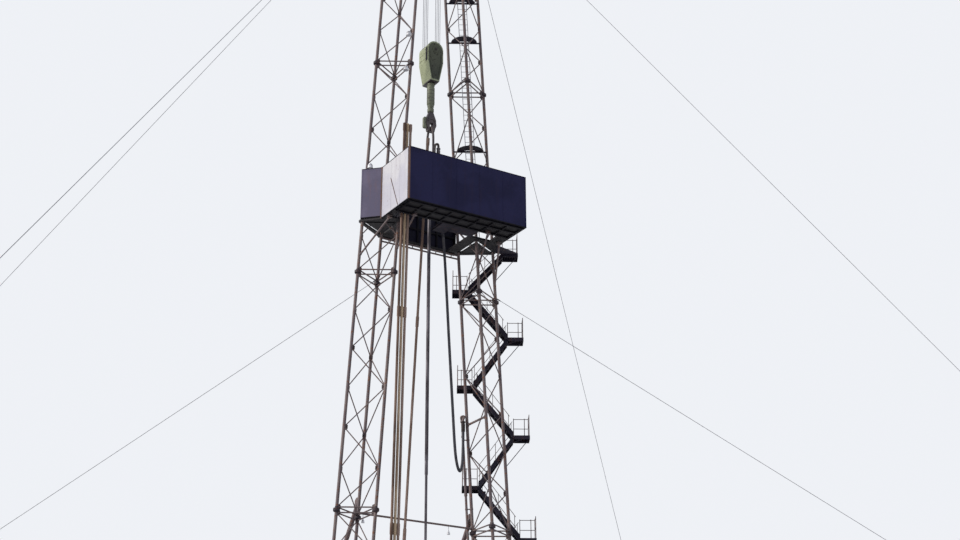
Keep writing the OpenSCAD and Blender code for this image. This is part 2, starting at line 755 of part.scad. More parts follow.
// Guy ropes from the crown and from the middle flanges to the anchors
module guy_ropes() {
    eye_z = 304;
    color(dark) for (s = [-1, 1], t = [-1, 1]) {
        bar([s * (1250 + guy_d * 0.45 + seat), t * half_side, top_z + 125],
            [s * (anchor_x - 12), t * (anchor_y + 9), eye_z], guy_d);
        if (s != t) outside_legs(mid_z - 300, mid_z + 500)
            bar(chord(s, s < 0 ? 1 : 2, mid_z + 120), [s * (anchor_x - 2), t * (anchor_y - 15), eye_z],
                guy_d);
    }
}
module guy_anchors() {
    color([0.45, 0.44, 0.42]) for (s = [-1, 1], t = [-1, 1])
        translate([s * anchor_x, t * anchor_y, 0]) union() {
            translate([-250, -250, 0]) cube([500, 500, 220]);
            translate([-20, -20, 220]) cube([40, 40, 80]);
        }
}

// The lines between crown and travelling block
module hoist_lines() {
    low = block_top - block_w / 2;
    color(dark) for (x = [-1, 1], y = sheave_ys)
        translate([x * rope_x, y, low]) cylinder(h = crown_pin_z - low, d = rope_d, $fn = 8);
}

// The travelling block: housing with a round top
block_depth = 450;
cheek = 20;
module travelling_block() {
    cavity_r = block_w / 2 - 15;
    low = block_w / 2 - block_h;
    color([0.50, 0.55, 0.25]) translate([0, 0, block_top - block_w / 2]) difference() {
        translate([0, block_depth / 2, 0]) rotate([90, 0, 0]) linear_extrude(block_depth)
            polygon(concat(arc([0, 0], block_w / 2, 0, 180, 16),
                [[-block_w / 2, -350], [-110, low], [110, low], [block_w / 2, -350]]));
        translate([0, block_depth / 2 - cheek, 0]) rotate([90, 0, 0]) linear_extrude(block_depth - 2 * cheek)
            polygon(concat(arc([0, 0], cavity_r, 0, 180, 16),
                [[-cavity_r, -330], [-120, -600], [120, -600], [cavity_r, -330]]));
        for (s = [-1, 1]) translate([s * rope_x - 23, -145, 0]) cube([46, 290, 300]);
    }
}
module block_sheaves() {
    pin_half = block_depth / 2 - cheek - seat;
    color(dark) union() {
        for (y = sheave_ys) sheave(y, block_top - block_w / 2);
        translate([0, pin_half, block_top - block_w / 2]) rotate([90, 0, 0])
            cylinder(h = 2 * pin_half, d = 60);
    }
}
module hook() {
    tip = block_bottom - 1320;
    color([0.42, 0.50, 0.25]) union() {
        translate([0, 0, block_bottom - 600]) cylinder(h = 600, d = 190, $fn = 32);
        translate([0, 0, block_bottom - 800]) cylinder(h = 200, d = 160, $fn = 32);
        translate([0, 50, 0]) rotate([90, 0, 0]) linear_extrude(100) difference() {
            polygon([[-45, block_bottom - 780], [45, block_bottom - 780], [130, block_bottom - 1000],
                [140, block_bottom - 1150], [90, tip], [-90, tip], [-140, block_bottom - 1150],
                [-130, block_bottom - 1000]]);
            translate([-40, bail_z - 60 - seat]) square([80, 150]);
        }
        block([-200, -35, block_bottom - 1250], [-125, 35, block_bottom - 960]);
    }
}
swivel_z = mid_z + 2500;
module swivel() {
    color([0.35, 0.42, 0.25]) union() {
        translate([0, 0, swivel_z]) cylinder(h = 900, d = 330, $fn = 48);
        for (y = [-1, 1]) translate([-30, y * 150 - 30, swivel_z + 600])
            cube([60, 60, bail_z - swivel_z - 600]);
        translate([-30, -180, bail_z - 60]) cube([60, 360, 60]);
        start = hose_route[0];
        bend = [[120, 0, swivel_z + 880], [125, 0, swivel_z + 1200], [175, 0, swivel_z + 1270],
            start + [0, 0, 90], start];
        for (k = [0 : 3]) bar(bend[k], bend[k + 1], 60, 12);
    }
}
module drill_string() {
    color([0.45, 0.43, 0.40]) union() {
        translate([0, 0, 100]) cylinder(h = 9700, d = pipe_d, $fn = 12);
        translate([0, 0, 9700]) cylinder(h = swivel_z - 9700, d = kelly_d, $fn = 6);
    }
}
// Smooth curve through a list of points, as a list with more of them
function smooth_point(p, i, t) =
    let (a = p[max(i - 1, 0)], b = p[i], c = p[i + 1], d = p[min(i + 2, len(p) - 1)])
    0.5 * (2 * b + (c - a) * t + (2 * a - 5 * b + 4 * c - d) * t ^ 2 + (3 * b - a - 3 * c + d) * t ^ 3);
function smooth(p, parts) = concat(
    [for (i = [0 : len(p) - 2], k = [0 : parts - 1]) smooth_point(p, i, k / parts)],
    [p[len(p) - 1]]);
// Closed tube swept along the points, its ends level
module tube(p, d, sides, across) {
    last = len(p) - 1;
    function along(i) = i == 0 ? [0, 0, p[1].z - p[0].z] : i == last ? [0, 0, p[last].z - p[last - 1].z]
        : p[i + 1] - p[i - 1];
    function ring(i) =
        let (t = along(i) / norm(along(i)), u = cross(t, across) / norm(cross(t, across)), v = cross(u, t))
        [for (k = [0 : sides - 1]) p[i] + d / 2 * (cos(360 * k / sides) * u + sin(360 * k / sides) * v)];
    polyhedron(points = [for (i = [0 : last]) each ring(i)], faces = concat(
        [[for (k = [0 : sides - 1]) k]],
        [for (i = [0 : last - 1], k = [0 : sides - 1]) [i * sides + k, (i + 1) * sides + k,
            (i + 1) * sides + (k + 1) % sides, i * sides + (k + 1) % sides]],
        [[for (k = [sides - 1 : -1 : 0]) last * sides + k]]));
}
// The hose from the swivel's gooseneck to the standpipe's
module rotary_hose() {
    color([0.09, 0.09, 0.12]) tube(smooth(hose_route, 5), hose_d, 8, [-0.38, 0.92, 0]);
}

base_skids();
substructure_posts();
substructure_bracing();
floor_beams();
rig_floor();
rotary_table();
floor_handrails();
leg_feet();
left_leg_section_1();
left_leg_section_2();
left_leg_section_3();
left_leg_section_4();
right_leg_section_1();
right_leg_section_2();
right_leg_section_3();
right_leg_section_4();
left_rear_strut();
right_rear_strut();
lower_belt();
upper_belt();
balcony_floor();
balcony_front_wall();
balcony_left_wall();
balcony_right_wall();
balcony_corner_panels();
balcony_back_wall();
balcony_braces();
finger_board();
racked_pipes();
stair_treads();
stair_stringers();
stair_landings();
stair_handrails();
leg_ladder();
rest_platforms();
floodlights();
crown_frame();
crown_platform();
crown_sheaves();
gin_pole();
standpipe();
guy_ropes();
guy_anchors();
hoist_lines();
rotary_hose();
travelling_block();
block_sheaves();
hook();
swivel();
drill_string();
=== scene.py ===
"""Looks of the two-legged oil drilling rig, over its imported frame."""
from math import copysign, cos, pi, radians, sin, sqrt

import bmesh
import bpy
from mathutils import Matrix, Vector


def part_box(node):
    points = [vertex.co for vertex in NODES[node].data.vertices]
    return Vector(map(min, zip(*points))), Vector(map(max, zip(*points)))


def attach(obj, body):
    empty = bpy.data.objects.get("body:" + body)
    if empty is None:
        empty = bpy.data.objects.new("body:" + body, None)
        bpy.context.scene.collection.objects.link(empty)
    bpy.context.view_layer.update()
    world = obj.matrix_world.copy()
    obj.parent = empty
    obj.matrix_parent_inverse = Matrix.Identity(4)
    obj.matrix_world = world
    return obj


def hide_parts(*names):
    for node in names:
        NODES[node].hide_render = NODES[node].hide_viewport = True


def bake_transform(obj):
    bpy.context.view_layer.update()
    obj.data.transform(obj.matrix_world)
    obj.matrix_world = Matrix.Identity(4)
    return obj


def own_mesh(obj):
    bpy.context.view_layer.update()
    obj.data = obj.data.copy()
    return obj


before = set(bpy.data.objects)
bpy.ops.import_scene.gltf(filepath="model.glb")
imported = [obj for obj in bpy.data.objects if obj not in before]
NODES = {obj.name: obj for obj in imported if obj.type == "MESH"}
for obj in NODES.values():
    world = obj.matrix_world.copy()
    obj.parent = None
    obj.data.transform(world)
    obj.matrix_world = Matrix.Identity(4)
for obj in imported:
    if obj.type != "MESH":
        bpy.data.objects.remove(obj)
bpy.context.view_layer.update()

X, Y, Z = Vector((1, 0, 0)), Vector((0, 1, 0)), Vector((0, 0, 1))

# Driving dimensions in metres, as the frame has them
FLOOR_MIN, FLOOR_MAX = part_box("rig_floor")
FLOOR_Z = FLOOR_MAX[2]
MID_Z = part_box("left_leg_section_3")[0][2]
TOP_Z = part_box("crown_frame")[0][2]
SECTION_H = (TOP_Z - MID_Z) / 2
FOOT_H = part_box("leg_feet")[1][2] - FLOOR_Z
LEG_BASE_X = 2.015
LEG_TOP_X = 0.705
LEG_SIDE = 0.825
CHORD_R = 0.036
BRACE_R = 0.013
FLANGE_R = 0.075
FLANGE_H = 0.03
PANELS = 6
HALF_SIDE = LEG_SIDE / 2
LEG_IN = LEG_SIDE / (2 * sqrt(3))
LEG_OUT = LEG_SIDE / sqrt(3)

# Camera, at the photograph's viewing angle
CAMERA_AT = (-16.3, -28.65, 0.85)
CAMERA_PITCH = 22.64
CAMERA_YAW = 31.71
CAMERA_ROLL = -0.12
CAMERA_LENS = 57.6

# Rotary hose
HOSE_R = 0.0325
HOSE_ROUTE = [(0.23, 0, 17.8), (0.235, 0, 17.5), (0.27, -0.01, 16.6), (0.39, -0.06, 15.0),
              (0.52, -0.06, 13.0), (0.65, -0.02, 11.4), (0.76, 0.05, 10.45), (0.87, 0.13, 10.08),
              (1.01, 0.24, 9.99), (1.12, 0.33, 10.2), (1.165, 0.372, 10.6), (1.18, 0.39, 10.95),
              (1.182, 0.395, 11.2)]

# Substructure and rig floor
SKID_TOP = 0.3
BEAM_DROP = 0.28
POST_HALF = 0.075
GROUND_STAIR_Y = (3.65, 4.45)

# Balcony
BALCONY_Z = MID_Z + 1.25
BALCONY_T = 0.05
RIGHT_X = 1.6
LEFT_X = -1.46
FRONT_Y = 1.65
SIDE_BACK = -0.4
WALL_H = 1.3
WALL_T = 0.03
BALCONY_BACK = 0.56
WELL_FRONT = -0.9997
CORNER_X = 0.06
CORNER_Y = -0.03

# Stair beside the right leg
STAIR_U = Vector((sqrt(3) / 2, -0.5, 0))
STAIR_N = Vector((0.5, sqrt(3) / 2, 0))
STAIR_NEAR = 0.075
STAIR_W = 0.35
STAIR_FAR = STAIR_NEAR + STAIR_W
LANDING_L = 0.375
LANDING_T = 0.09
FAR_U = 1.25
FLIGHT_H = 1.185
LANDINGS = 11
TREADS = 9
RAIL_H = 0.5

# Hoist
BLOCK_TOP = MID_Z + 6.46
BLOCK_H = 1.09
BLOCK_R = 0.215
BLOCK_DEPTH = 0.45
BLOCK_BOTTOM = BLOCK_TOP - BLOCK_H
BLOCK_PIN_Z = BLOCK_TOP - BLOCK_R
CHEEK_Y = BLOCK_DEPTH / 2 - 0.02
# Heights over the block's pin
SHOULDER = -0.35
CHIN = BLOCK_R - BLOCK_H
CHIN_X = 0.11
BAIL_Z = BLOCK_BOTTOM - 1.18
SWIVEL_Z = MID_Z + 2.5
SHEAVE_R = 0.19
GROOVE_R = 0.168
ROPE_R = 0.007
ROPE_X = GROOVE_R + ROPE_R + 0.0003
SHEAVE_YS = (-0.1125, -0.0375, 0.0375, 0.1125)
CROWN_BEAM_H = 0.25
CROWN_DECK_Z = TOP_Z + CROWN_BEAM_H
CROWN_PIN_Z = TOP_Z + 0.52
PIPE_R = 0.029
JOINT_R = PIPE_R + 0.008
KELLY_R = 0.044
STAND_H = 14.55

ANCHOR_X = 17.5
ANCHOR_Y = 12.0
GUY_R = 0.006


def leg_x(z):
    """Distance of a leg's middle from the well at height z."""
    return LEG_BASE_X + (LEG_TOP_X - LEG_BASE_X) * (z - FLOOR_Z) / (TOP_Z - FLOOR_Z)


def chord(side, i, z):
    """Centre of a leg's chord: 0 front, 1 back, 2 outer."""
    x = leg_x(z) + (LEG_OUT if i == 2 else -LEG_IN)
    return Vector((side * x, (-HALF_SIDE, HALF_SIDE, 0)[i], z))


# Camera

def make_camera():
    data = bpy.data.cameras.new("camera")
    data.lens = CAMERA_LENS
    data.sensor_width = 36
    data.clip_end = 500
    obj = bpy.data.objects.new("camera", data)
    turn = (Matrix.Rotation(radians(-CAMERA_YAW), 4, "Z")
            @ Matrix.Rotation(radians(90 + CAMERA_PITCH), 4, "X")
            @ Matrix.Rotation(radians(CAMERA_ROLL), 4, "Z"))
    obj.matrix_world = Matrix.Translation(CAMERA_AT) @ turn
    bpy.context.collection.objects.link(obj)
    bpy.context.scene.camera = obj


# Mesh building

class Builder:
    """Collects simple solids into one mesh."""

    def __init__(self, name):
        self.name = name
        self.verts = []
        self.faces = []
        self.paint = 0
        self.paints = []

    def add(self, verts, faces):
        start = len(self.verts)
        self.verts.extend(tuple(v) for v in verts)
        self.faces.extend(tuple(start + i for i in f) for f in faces)
        self.paints.extend([self.paint] * len(faces))

    def loft(self, rings, closed=True):
        """A skin over rings of equally many points, with flat ends."""
        n = len(rings[0])
        verts = [p for ring in rings for p in ring]
        faces = [(k * n + i, k * n + (i + 1) % n, (k + 1) * n + (i + 1) % n, (k + 1) * n + i)
                 for k in range(len(rings) - 1) for i in range(n)]
        if closed:
            faces.append(tuple(reversed(range(n))))
            faces.append(tuple((len(rings) - 1) * n + i for i in range(n)))
        self.add(verts, faces)

    def lathe(self, base, axis, profile, sides=16, closed=True):
        """A turned solid: profile holds (radius, distance along the axis) pairs."""
        base = Vector(base)
        u, v, w = axes_of(axis)
        turns = [2 * pi * i / sides for i in range(sides)]
        self.loft([[base + w * h + r * (cos(t) * u + sin(t) * v) for t in turns] for r, h in profile], closed)

    def bar(self, a, b, r, sides=12):
        a, b = Vector(a), Vector(b)
        self.lathe(a, b - a, [(r, 0), (r, (b - a).length)], sides)

    def sweep(self, path, r, sides):
        """A round tube along a path."""
        rings, u = [], None
        for i, point in enumerate(path):
            along = (path[min(i + 1, len(path) - 1)] - path[max(i - 1, 0)]).normalized()
            u = axes_of(along)[0] if u is None else (u - along * u.dot(along)).normalized()
            v = along.cross(u)
            rings.append([point + r * (cos(a) * u + sin(a) * v)
                          for a in (2 * pi * k / sides for k in range(sides))])
        self.loft(rings)

    def beam(self, a, b, depth, width, web=0.008, flange=0.012):
        """A level rolled I beam from a to b, its top flange at the height of a and b."""
        a, b = Vector(a), Vector(b)
        side = (b - a).cross(Z).normalized()
        for low, high, half in ((-flange, 0, width / 2), (-depth, flange - depth, width / 2),
                                (flange - depth, -flange, web / 2)):
            self.loft([[end + side * s * half + Z * h
                        for s, h in ((-1, low), (1, low), (1, high), (-1, high))] for end in (a, b)])

    def prism(self, outline, low, high):
        self.loft([[Vector((x, y, z)) for x, y in outline] for z in (low, high)])

    def box(self, low, high):
        (x0, y0, z0), (x1, y1, z1) = low, high
        self.prism([(x0, y0), (x1, y0), (x1, y1), (x0, y1)], z0, z1)

    def pad(self, x, y, half_x, half_y, low, high):
        """An upright box around the point x, y."""
        self.box((x - half_x, y - half_y, low), (x + half_x, y + half_y, high))

    def slab(self, origin, u, n, sizes):
        """A box in the level directions u and n: sizes holds its limits along u, n and up."""
        u0, u1, n0, n1, z0, z1 = sizes
        self.loft([[origin + u * x + n * y + Z * z for x, y in ((u0, n0), (u1, n0), (u1, n1), (u0, n1))]
                   for z in (z0, z1)])

    def plate(self, origin, u, v, outline, thickness):
        """A flat plate: its outline in the directions u and v, centred on its thickness."""
        origin, u, v = Vector(origin), u.normalized(), v.normalized()
        w = u.cross(v).normalized() * thickness / 2
        self.loft([[origin + x * u + y * v + s * w for x, y in outline] for s in (-1, 1)])

    def bolt(self, at, axis, r=0.008, h=0.01):
        self.lathe(at, axis, [(r * 1.5, 0), (r * 1.5, h * 0.25), (r, h * 0.26), (r, h)], 6)

    def bolt_ring(self, at, axis, count, radius, r, h, start=0):
        """Bolts in a circle around an upright or a y axis."""
        v = Y if axis.z else Z
        for k in range(count):
            a = start + 2 * pi * k / count
            self.bolt(Vector(at) + X * (radius * cos(a)) + v * (radius * sin(a)), axis, r, h)

    def four_bolts(self, at, dx, dy, r, h, axis=Z):
        for p in (-dx, dx):
            for q in (-dy, dy):
                self.bolt((at[0] + p, at[1] + q, at[2]), axis, r, h)

    def done(self, replaces, slot, *materials, body="frame", sharp=35):
        mesh = bpy.data.meshes.new(self.name)
        mesh.from_pydata(self.verts, [], self.faces)
        mesh.polygons.foreach_set("material_index", self.paints)
        bm = bmesh.new()
        bm.from_mesh(mesh)
        bmesh.ops.recalc_face_normals(bm, faces=bm.faces)
        for face in bm.faces:
            face.smooth = True
        for edge in bm.edges:
            edge.smooth = edge.calc_face_angle(0) < radians(sharp)
        bm.to_mesh(mesh)
        bm.free()
        obj = bpy.data.objects.new(self.name, mesh)
        bpy.context.collection.objects.link(obj)
        for key in materials:
            mesh.materials.append(M[key])
        if body:
            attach(obj, body)
        if replaces:
            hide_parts(*replaces)
        for node in replaces:
            dress(node, materials[0])
        return obj


def axes_of(axis):
    w = Vector(axis).normalized()
    u = w.cross(X if abs(w.x) < 0.9 else Y).normalized()
    return u, w.cross(u), w


def mm(*sizes):
    """Points in metres from pairs of millimetres."""
    return [(a / 1000, b / 1000) for a, b in zip(sizes[::2], sizes[1::2])]


def rect(x, y):
    """Outline of a rectangle around the origin, by its half sides."""
    return [(-x, -y), (x, -y), (x, y), (-x, y)]


def band(r, h, step, bevel):
    """Profile of a collar of radius r and height h, set in by step over the bevel at both ends."""
    return [(r - step, 0), (r, bevel), (r, h - bevel), (r - step, h)]


def smooth_path(points, parts):
    """Catmull-Rom curve through the points."""
    pts = [Vector(p) for p in points]
    out = []
    for i in range(len(pts) - 1):
        a, b, c, d = pts[max(i - 1, 0)], pts[i], pts[i + 1], pts[min(i + 2, len(pts) - 1)]
        for k in range(parts):
            t = k / parts
            out.append(0.5 * (2 * b + (c - a) * t + (2 * a - 5 * b + 4 * c - d) * t ** 2
                              + (3 * b - a - 3 * c + d) * t ** 3))
    return out + [pts[-1]]


# Materials

def put(node, values):
    """Fills a node's inputs: a socket is linked, a colour gets its alpha."""
    for key, value in values.items():
        socket = node.inputs[key]
        if isinstance(value, bpy.types.NodeSocket):
            node.id_data.links.new(value, socket)
        else:
            socket.default_value = (*value, 1) if socket.type == "RGBA" else value


def make(tree, kind, values, **settings):
    node = tree.nodes.new("ShaderNode" + kind)
    for key, value in settings.items():
        setattr(node, key, value)
    put(node, values)
    return node


class Paint:
    """A new material with short calls for its node graph."""

    def __init__(self, name):
        self.mat = bpy.data.materials.new(name)
        self.mat.use_nodes = True
        self.tree = self.mat.node_tree
        self.coord = make(self.tree, "TexCoord", {}).outputs["Object"]

    def finish(self, values):
        put(self.tree.nodes["Principled BSDF"], values)
        return self.mat

    def noise(self, scale, detail=4, rough=0.55, stretch=(1, 1, 1)):
        where = make(self.tree, "Mapping", {"Vector": self.coord, "Scale": stretch}).outputs["Vector"]
        values = {"Vector": where, "Scale": scale, "Detail": detail, "Roughness": rough}
        return make(self.tree, "TexNoise", values).outputs["Fac"]

    def wave(self, where, values, **settings):
        return make(self.tree, "TexWave", {"Vector": where, **values}, **settings).outputs["Fac"]

    def ramp(self, value, low, high):
        values = {"Value": value, "From Min": low, "From Max": high}
        return make(self.tree, "MapRange", values, interpolation_type="SMOOTHSTEP").outputs["Result"]

    def times(self, a, b):
        return make(self.tree, "Math", {0: a, 1: b}, operation="MULTIPLY").outputs[0]

    def plus(self, a, b):
        return make(self.tree, "Math", {0: a, 1: b}, operation="ADD").outputs[0]

    def mix(self, factor, a, b):
        return make(self.tree, "Mix", {"Factor": factor, 6: a, 7: b}, data_type="RGBA").outputs[2]

    def bump(self, height, strength, distance):
        values = {"Strength": strength, "Distance": distance, "Height": height}
        return make(self.tree, "Bump", values).outputs["Normal"]


def shade(colour, share):
    return tuple(share * c for c in colour)


def painted(name, paint, faded, rust, rust_amount=0.5, rough=0.55, gloss=0.35):
    """Weathered paint on steel: faded patches, run-off streaks, rust spots and a little orange peel."""
    n = Paint(name)
    patches = n.ramp(n.noise(1.3, 5), 0.4, 0.62)
    colour = n.mix(patches, paint, faded)
    fine = n.ramp(n.noise(45, 3), 0.35, 0.75)
    colour = n.mix(n.times(fine, 0.22), colour, shade(paint, 0.6))
    runs = n.ramp(n.noise(9, 5, 0.6, (1, 1, 0.1)), 0.52, 0.72)
    colour = n.mix(n.times(runs, 0.45), colour, tuple(0.5 * (a + b) for a, b in zip(paint, rust)))
    spots = n.ramp(n.noise(17, 6, 0.65), 0.66 - 0.16 * rust_amount, 0.74 - 0.14 * rust_amount)
    return n.finish({"Base Color": n.mix(spots, colour, rust),
                     "Roughness": n.plus(n.times(spots, 0.3), rough),
                     "Normal": n.bump(n.plus(n.times(spots, 0.6), n.noise(160, 2)), 0.35, 0.003),
                     "Specular IOR Level": gloss})


def bare_steel(name, base, dark, rough=0.4, metallic=0.8):
    """Handled steel with mud and grease on it."""
    n = Paint(name)
    mud = n.ramp(n.noise(2.2, 6, 0.65, (1, 1, 0.35)), 0.42, 0.6)
    grain = n.times(n.ramp(n.noise(38, 4), 0.45, 0.7), 0.4)
    return n.finish({"Base Color": n.mix(grain, n.mix(mud, base, dark), shade(base, 0.45)),
                     "Roughness": n.plus(n.times(mud, 0.35), rough),
                     "Normal": n.bump(n.noise(120, 3), 0.3, 0.002),
                     "Metallic": metallic})


def rope_material(name, base, dark, pitch):
    """Laid wire rope: the strands show as a fine slanting wave."""
    n = Paint(name)
    lay = n.wave(n.coord, {"Scale": 1 / pitch, "Distortion": 0.4}, bands_direction="DIAGONAL")
    grease = n.ramp(n.noise(3, 4), 0.4, 0.65)
    return n.finish({"Base Color": n.mix(n.times(grease, 0.6), n.mix(lay, dark, base), dark),
                     "Normal": n.bump(lay, 0.6, 0.002), "Roughness": 0.5, "Metallic": 0.5})


def rubber_material(name, rubber, dusty):
    """Wrapped rubber hose, scuffed and dusty, with its cover's faint wrap marks."""
    n = Paint(name)
    dust = n.ramp(n.noise(5, 5), 0.45, 0.72)
    wraps = n.wave(n.coord, {"Scale": 9, "Distortion": 0.6}, bands_direction="Z")
    return n.finish({"Base Color": n.mix(n.times(dust, 0.5), rubber, dusty),
                     "Normal": n.bump(n.plus(wraps, n.noise(90, 3)), 0.25, 0.003), "Roughness": 0.62})


def deck_material(name, base, worn):
    """Tread plate: rows of raised diamonds, worn bright on top and muddy between."""
    n = Paint(name)
    rows = []
    for turn in (45, -45):
        turned = make(n.tree, "Mapping", {"Vector": n.coord, "Rotation": (0, 0, radians(turn))})
        rows.append(n.wave(turned.outputs["Vector"], {"Scale": 14}))
    diamonds = n.ramp(n.times(*rows), 0.35, 0.75)
    grime = n.ramp(n.noise(1.7, 6, 0.6), 0.4, 0.65)
    colour = n.mix(n.times(diamonds, 0.5), base, worn)
    return n.finish({"Base Color": n.mix(n.times(grime, 0.7), colour, shade(base, 0.5)),
                     "Normal": n.bump(diamonds, 0.5, 0.004), "Roughness": 0.6, "Metallic": 0.3})


RUST = (0.2, 0.085, 0.045)
# For each paint: name, fresh, faded and rust colour, amount of rust, roughness and gloss
PAINTS = {
    "steel": ("leg_paint", (0.125, 0.098, 0.108), (0.195, 0.155, 0.15), RUST, 0.7),
    "dark": ("dark_steel", (0.014, 0.012, 0.024), (0.028, 0.025, 0.04), RUST, 0.2, 0.55, 0.15),
    "galvanised": ("galvanised_steel", (0.3, 0.3, 0.34), (0.38, 0.38, 0.42), (0.2, 0.13, 0.1), 0.4),
    "flange": ("flange_paint", (0.022, 0.017, 0.028), (0.05, 0.035, 0.042), RUST, 0.4),
    # Painted shade: the front sheets' dark blue is their paint made darker still by the shade they stand in
    "front": ("front_sheet", (0.013, 0.013, 0.05), (0.021, 0.021, 0.072),
              (0.035, 0.022, 0.045), 0.2, 0.55, 0.1),
    "pale": ("pale_sheet", (0.56, 0.56, 0.64), (0.66, 0.66, 0.7), (0.36, 0.3, 0.3), 0.2),
    # Painted shade: the right sheets' dark blue is their paint made darker still by the shade they stand in
    "right": ("right_sheet", (0.014, 0.015, 0.065), (0.024, 0.026, 0.09), RUST, 0.2, 0.55, 0.15),
    "corner": ("corner_sheet", (0.105, 0.095, 0.16), (0.145, 0.13, 0.205), RUST, 0.2),
    "frame": ("inner_frame", (0.006, 0.006, 0.01), (0.012, 0.011, 0.016),
              (0.02, 0.012, 0.01), 0.3, 0.55, 0.1),
    "rusty": ("rusty_post", (0.105, 0.052, 0.04), (0.16, 0.09, 0.07), RUST, 0.8),
    "swivel": ("swivel_paint", (0.06, 0.048, 0.045), (0.1, 0.08, 0.065), (0.03, 0.022, 0.022), 0.5, 0.45),
    # Painted shade: the back sheets' near black is their paint made darker still by the shade inside the
    # balcony
    "back": ("back_sheet", (0.008, 0.008, 0.022), (0.015, 0.015, 0.032),
             (0.03, 0.018, 0.014), 0.2, 0.55, 0.1),
    "rail": ("rail_paint", (0.42, 0.3, 0.05), (0.5, 0.4, 0.14), RUST, 0.6),
    "green": ("green_paint", (0.3, 0.335, 0.205), (0.37, 0.41, 0.26), (0.08, 0.07, 0.05), 0.5, 0.45),
    # Painted shade: a dark green for the recess of the block's cheeks, with sheaves in shadow
    "green_recess_shade": ("greasy_green", (0.05, 0.056, 0.04), (0.085, 0.092, 0.062),
                   (0.02, 0.018, 0.016), 0.6, 0.5, 0.2),
    "green_mid": ("hook_green", (0.15, 0.165, 0.115), (0.21, 0.23, 0.155), (0.05, 0.042, 0.034), 0.6, 0.5),
    # Painted shade: near black for the shadowed slot on the block's side
    "gap": ("dark_gap", (0.012, 0.012, 0.014), (0.02, 0.02, 0.022), (0.02, 0.014, 0.012), 0.3, 0.55, 0.1),
    "hook_iron": ("hook_paint", (0.045, 0.035, 0.042), (0.085, 0.065, 0.066), (0.03, 0.02, 0.018), 0.4, 0.45),
    "concrete": ("anchor_concrete", (0.42, 0.41, 0.39), (0.52, 0.51, 0.48), (0.3, 0.27, 0.24), 0.4, 0.85),
}
# For each bare steel: name, clean and muddy colour, roughness and metal share
STEELS = {
    "pipe": ("drill_pipe_brown", (0.165, 0.095, 0.065), (0.085, 0.052, 0.04), 0.55, 0.1),
    "pipe_tan": ("drill_pipe_tan", (0.5, 0.37, 0.24), (0.33, 0.22, 0.14), 0.55, 0.1),
    "pipe_pink": ("drill_pipe_dusty", (0.29, 0.2, 0.165), (0.18, 0.115, 0.09), 0.55, 0.1),
    "string": ("string_steel", (0.115, 0.105, 0.125), (0.055, 0.046, 0.055), 0.45, 0.4),
    "machine": ("machine_steel", (0.1, 0.09, 0.1), (0.05, 0.04, 0.04), 0.4, 0.6),
    "lamp": ("lamp_housing", (0.75, 0.76, 0.8), (0.45, 0.45, 0.48), 0.35, 0.3),
}
M = {key: painted(*row) for key, row in PAINTS.items()}
M.update({key: bare_steel(*row) for key, row in STEELS.items()})
M["wire"] = rope_material("wire_rope", (0.36, 0.36, 0.4), (0.12, 0.12, 0.14), 0.02)
M["hose"] = rubber_material("hose_rubber", (0.03, 0.03, 0.042), (0.13, 0.12, 0.12))
M["deck"] = deck_material("tread_plate", (0.16, 0.13, 0.12), (0.34, 0.31, 0.29))
M["dark_deck"] = deck_material("balcony_plate", (0.014, 0.013, 0.017), (0.05, 0.046, 0.05))


def dress(node, key):
    """Gives a CAD node its finish."""
    mesh = NODES[node].data
    mesh.materials.clear()
    mesh.materials.append(M[key])


# Legs

def leg_section(side, number):
    """Tubes, weld-neck flanges with their bolts, gussets and beads of one leg section."""
    hand = "left" if side < 0 else "right"
    b = Builder(f"{hand}_leg_{number}_steelwork")
    low = FLOOR_Z + FOOT_H if number == 1 else FLOOR_Z + (number - 1) * SECTION_H
    high = FLOOR_Z + number * SECTION_H
    levels = [low + k * (high - low) / PANELS for k in range(PANELS + 1)]
    levels[0], levels[-1] = low + 2 * FLANGE_H, high - 2 * FLANGE_H
    lean = (chord(side, 0, high) - chord(side, 0, low)).normalized()
    flange = band(FLANGE_R, FLANGE_H, 0.003, 0.003) + [(0.05, FLANGE_H), (0.04, 0.055), (CHORD_R, 0.075)]
    for i in range(3):
        foot, head = chord(side, i, low), chord(side, i, high)
        b.paint = 0
        b.bar(foot + lean * 0.01, head - lean * 0.01, CHORD_R, 20)
        b.paint = 1
        for end, way in ((foot, Z), (head, -Z)):
            b.lathe(end, way, flange, 20)
            b.bolt_ring(end + way * FLANGE_H, way, 8, 0.061, 0.006, 0.012, pi / 8)
    b.paint = 0
    runs = [(chord(side, i, z), chord(side, (i + 1) % 3, z), BRACE_R + 0.003)
            for z in (levels[0], levels[-1]) for i in range(3)]
    runs += [(chord(side, pair[k % 2], levels[k]), chord(side, pair[(k + 1) % 2], levels[k + 1]), BRACE_R)
             for k in range(PANELS) for pair in ((1, 2), (2, 0), (1, 0))]
    if side > 0 and number == 2:
        thick_z = low + 2.5
        runs.append((chord(1, 1, thick_z), chord(1, 0, thick_z), 2 * BRACE_R))
    gusset = mm(-75, 28, 75, 28, 40, 82, -40, 82)
    for a, c, r in runs:
        b.bar(a, c, r, 10)
        for end, other in ((a, c), (c, a)):
            along = (other - end).normalized()
            across = along - lean * along.dot(lean)
            reach = CHORD_R / across.length
            b.lathe(end + along * (reach - 0.004), along, [(r + 0.006, 0), (r + 0.006, 0.01), (r, 0.02)], 8)
            b.plate(end, lean, across, gusset, 0.007)
    b.done([f"{hand}_leg_section_{number}"], "steel", "steel", "flange")


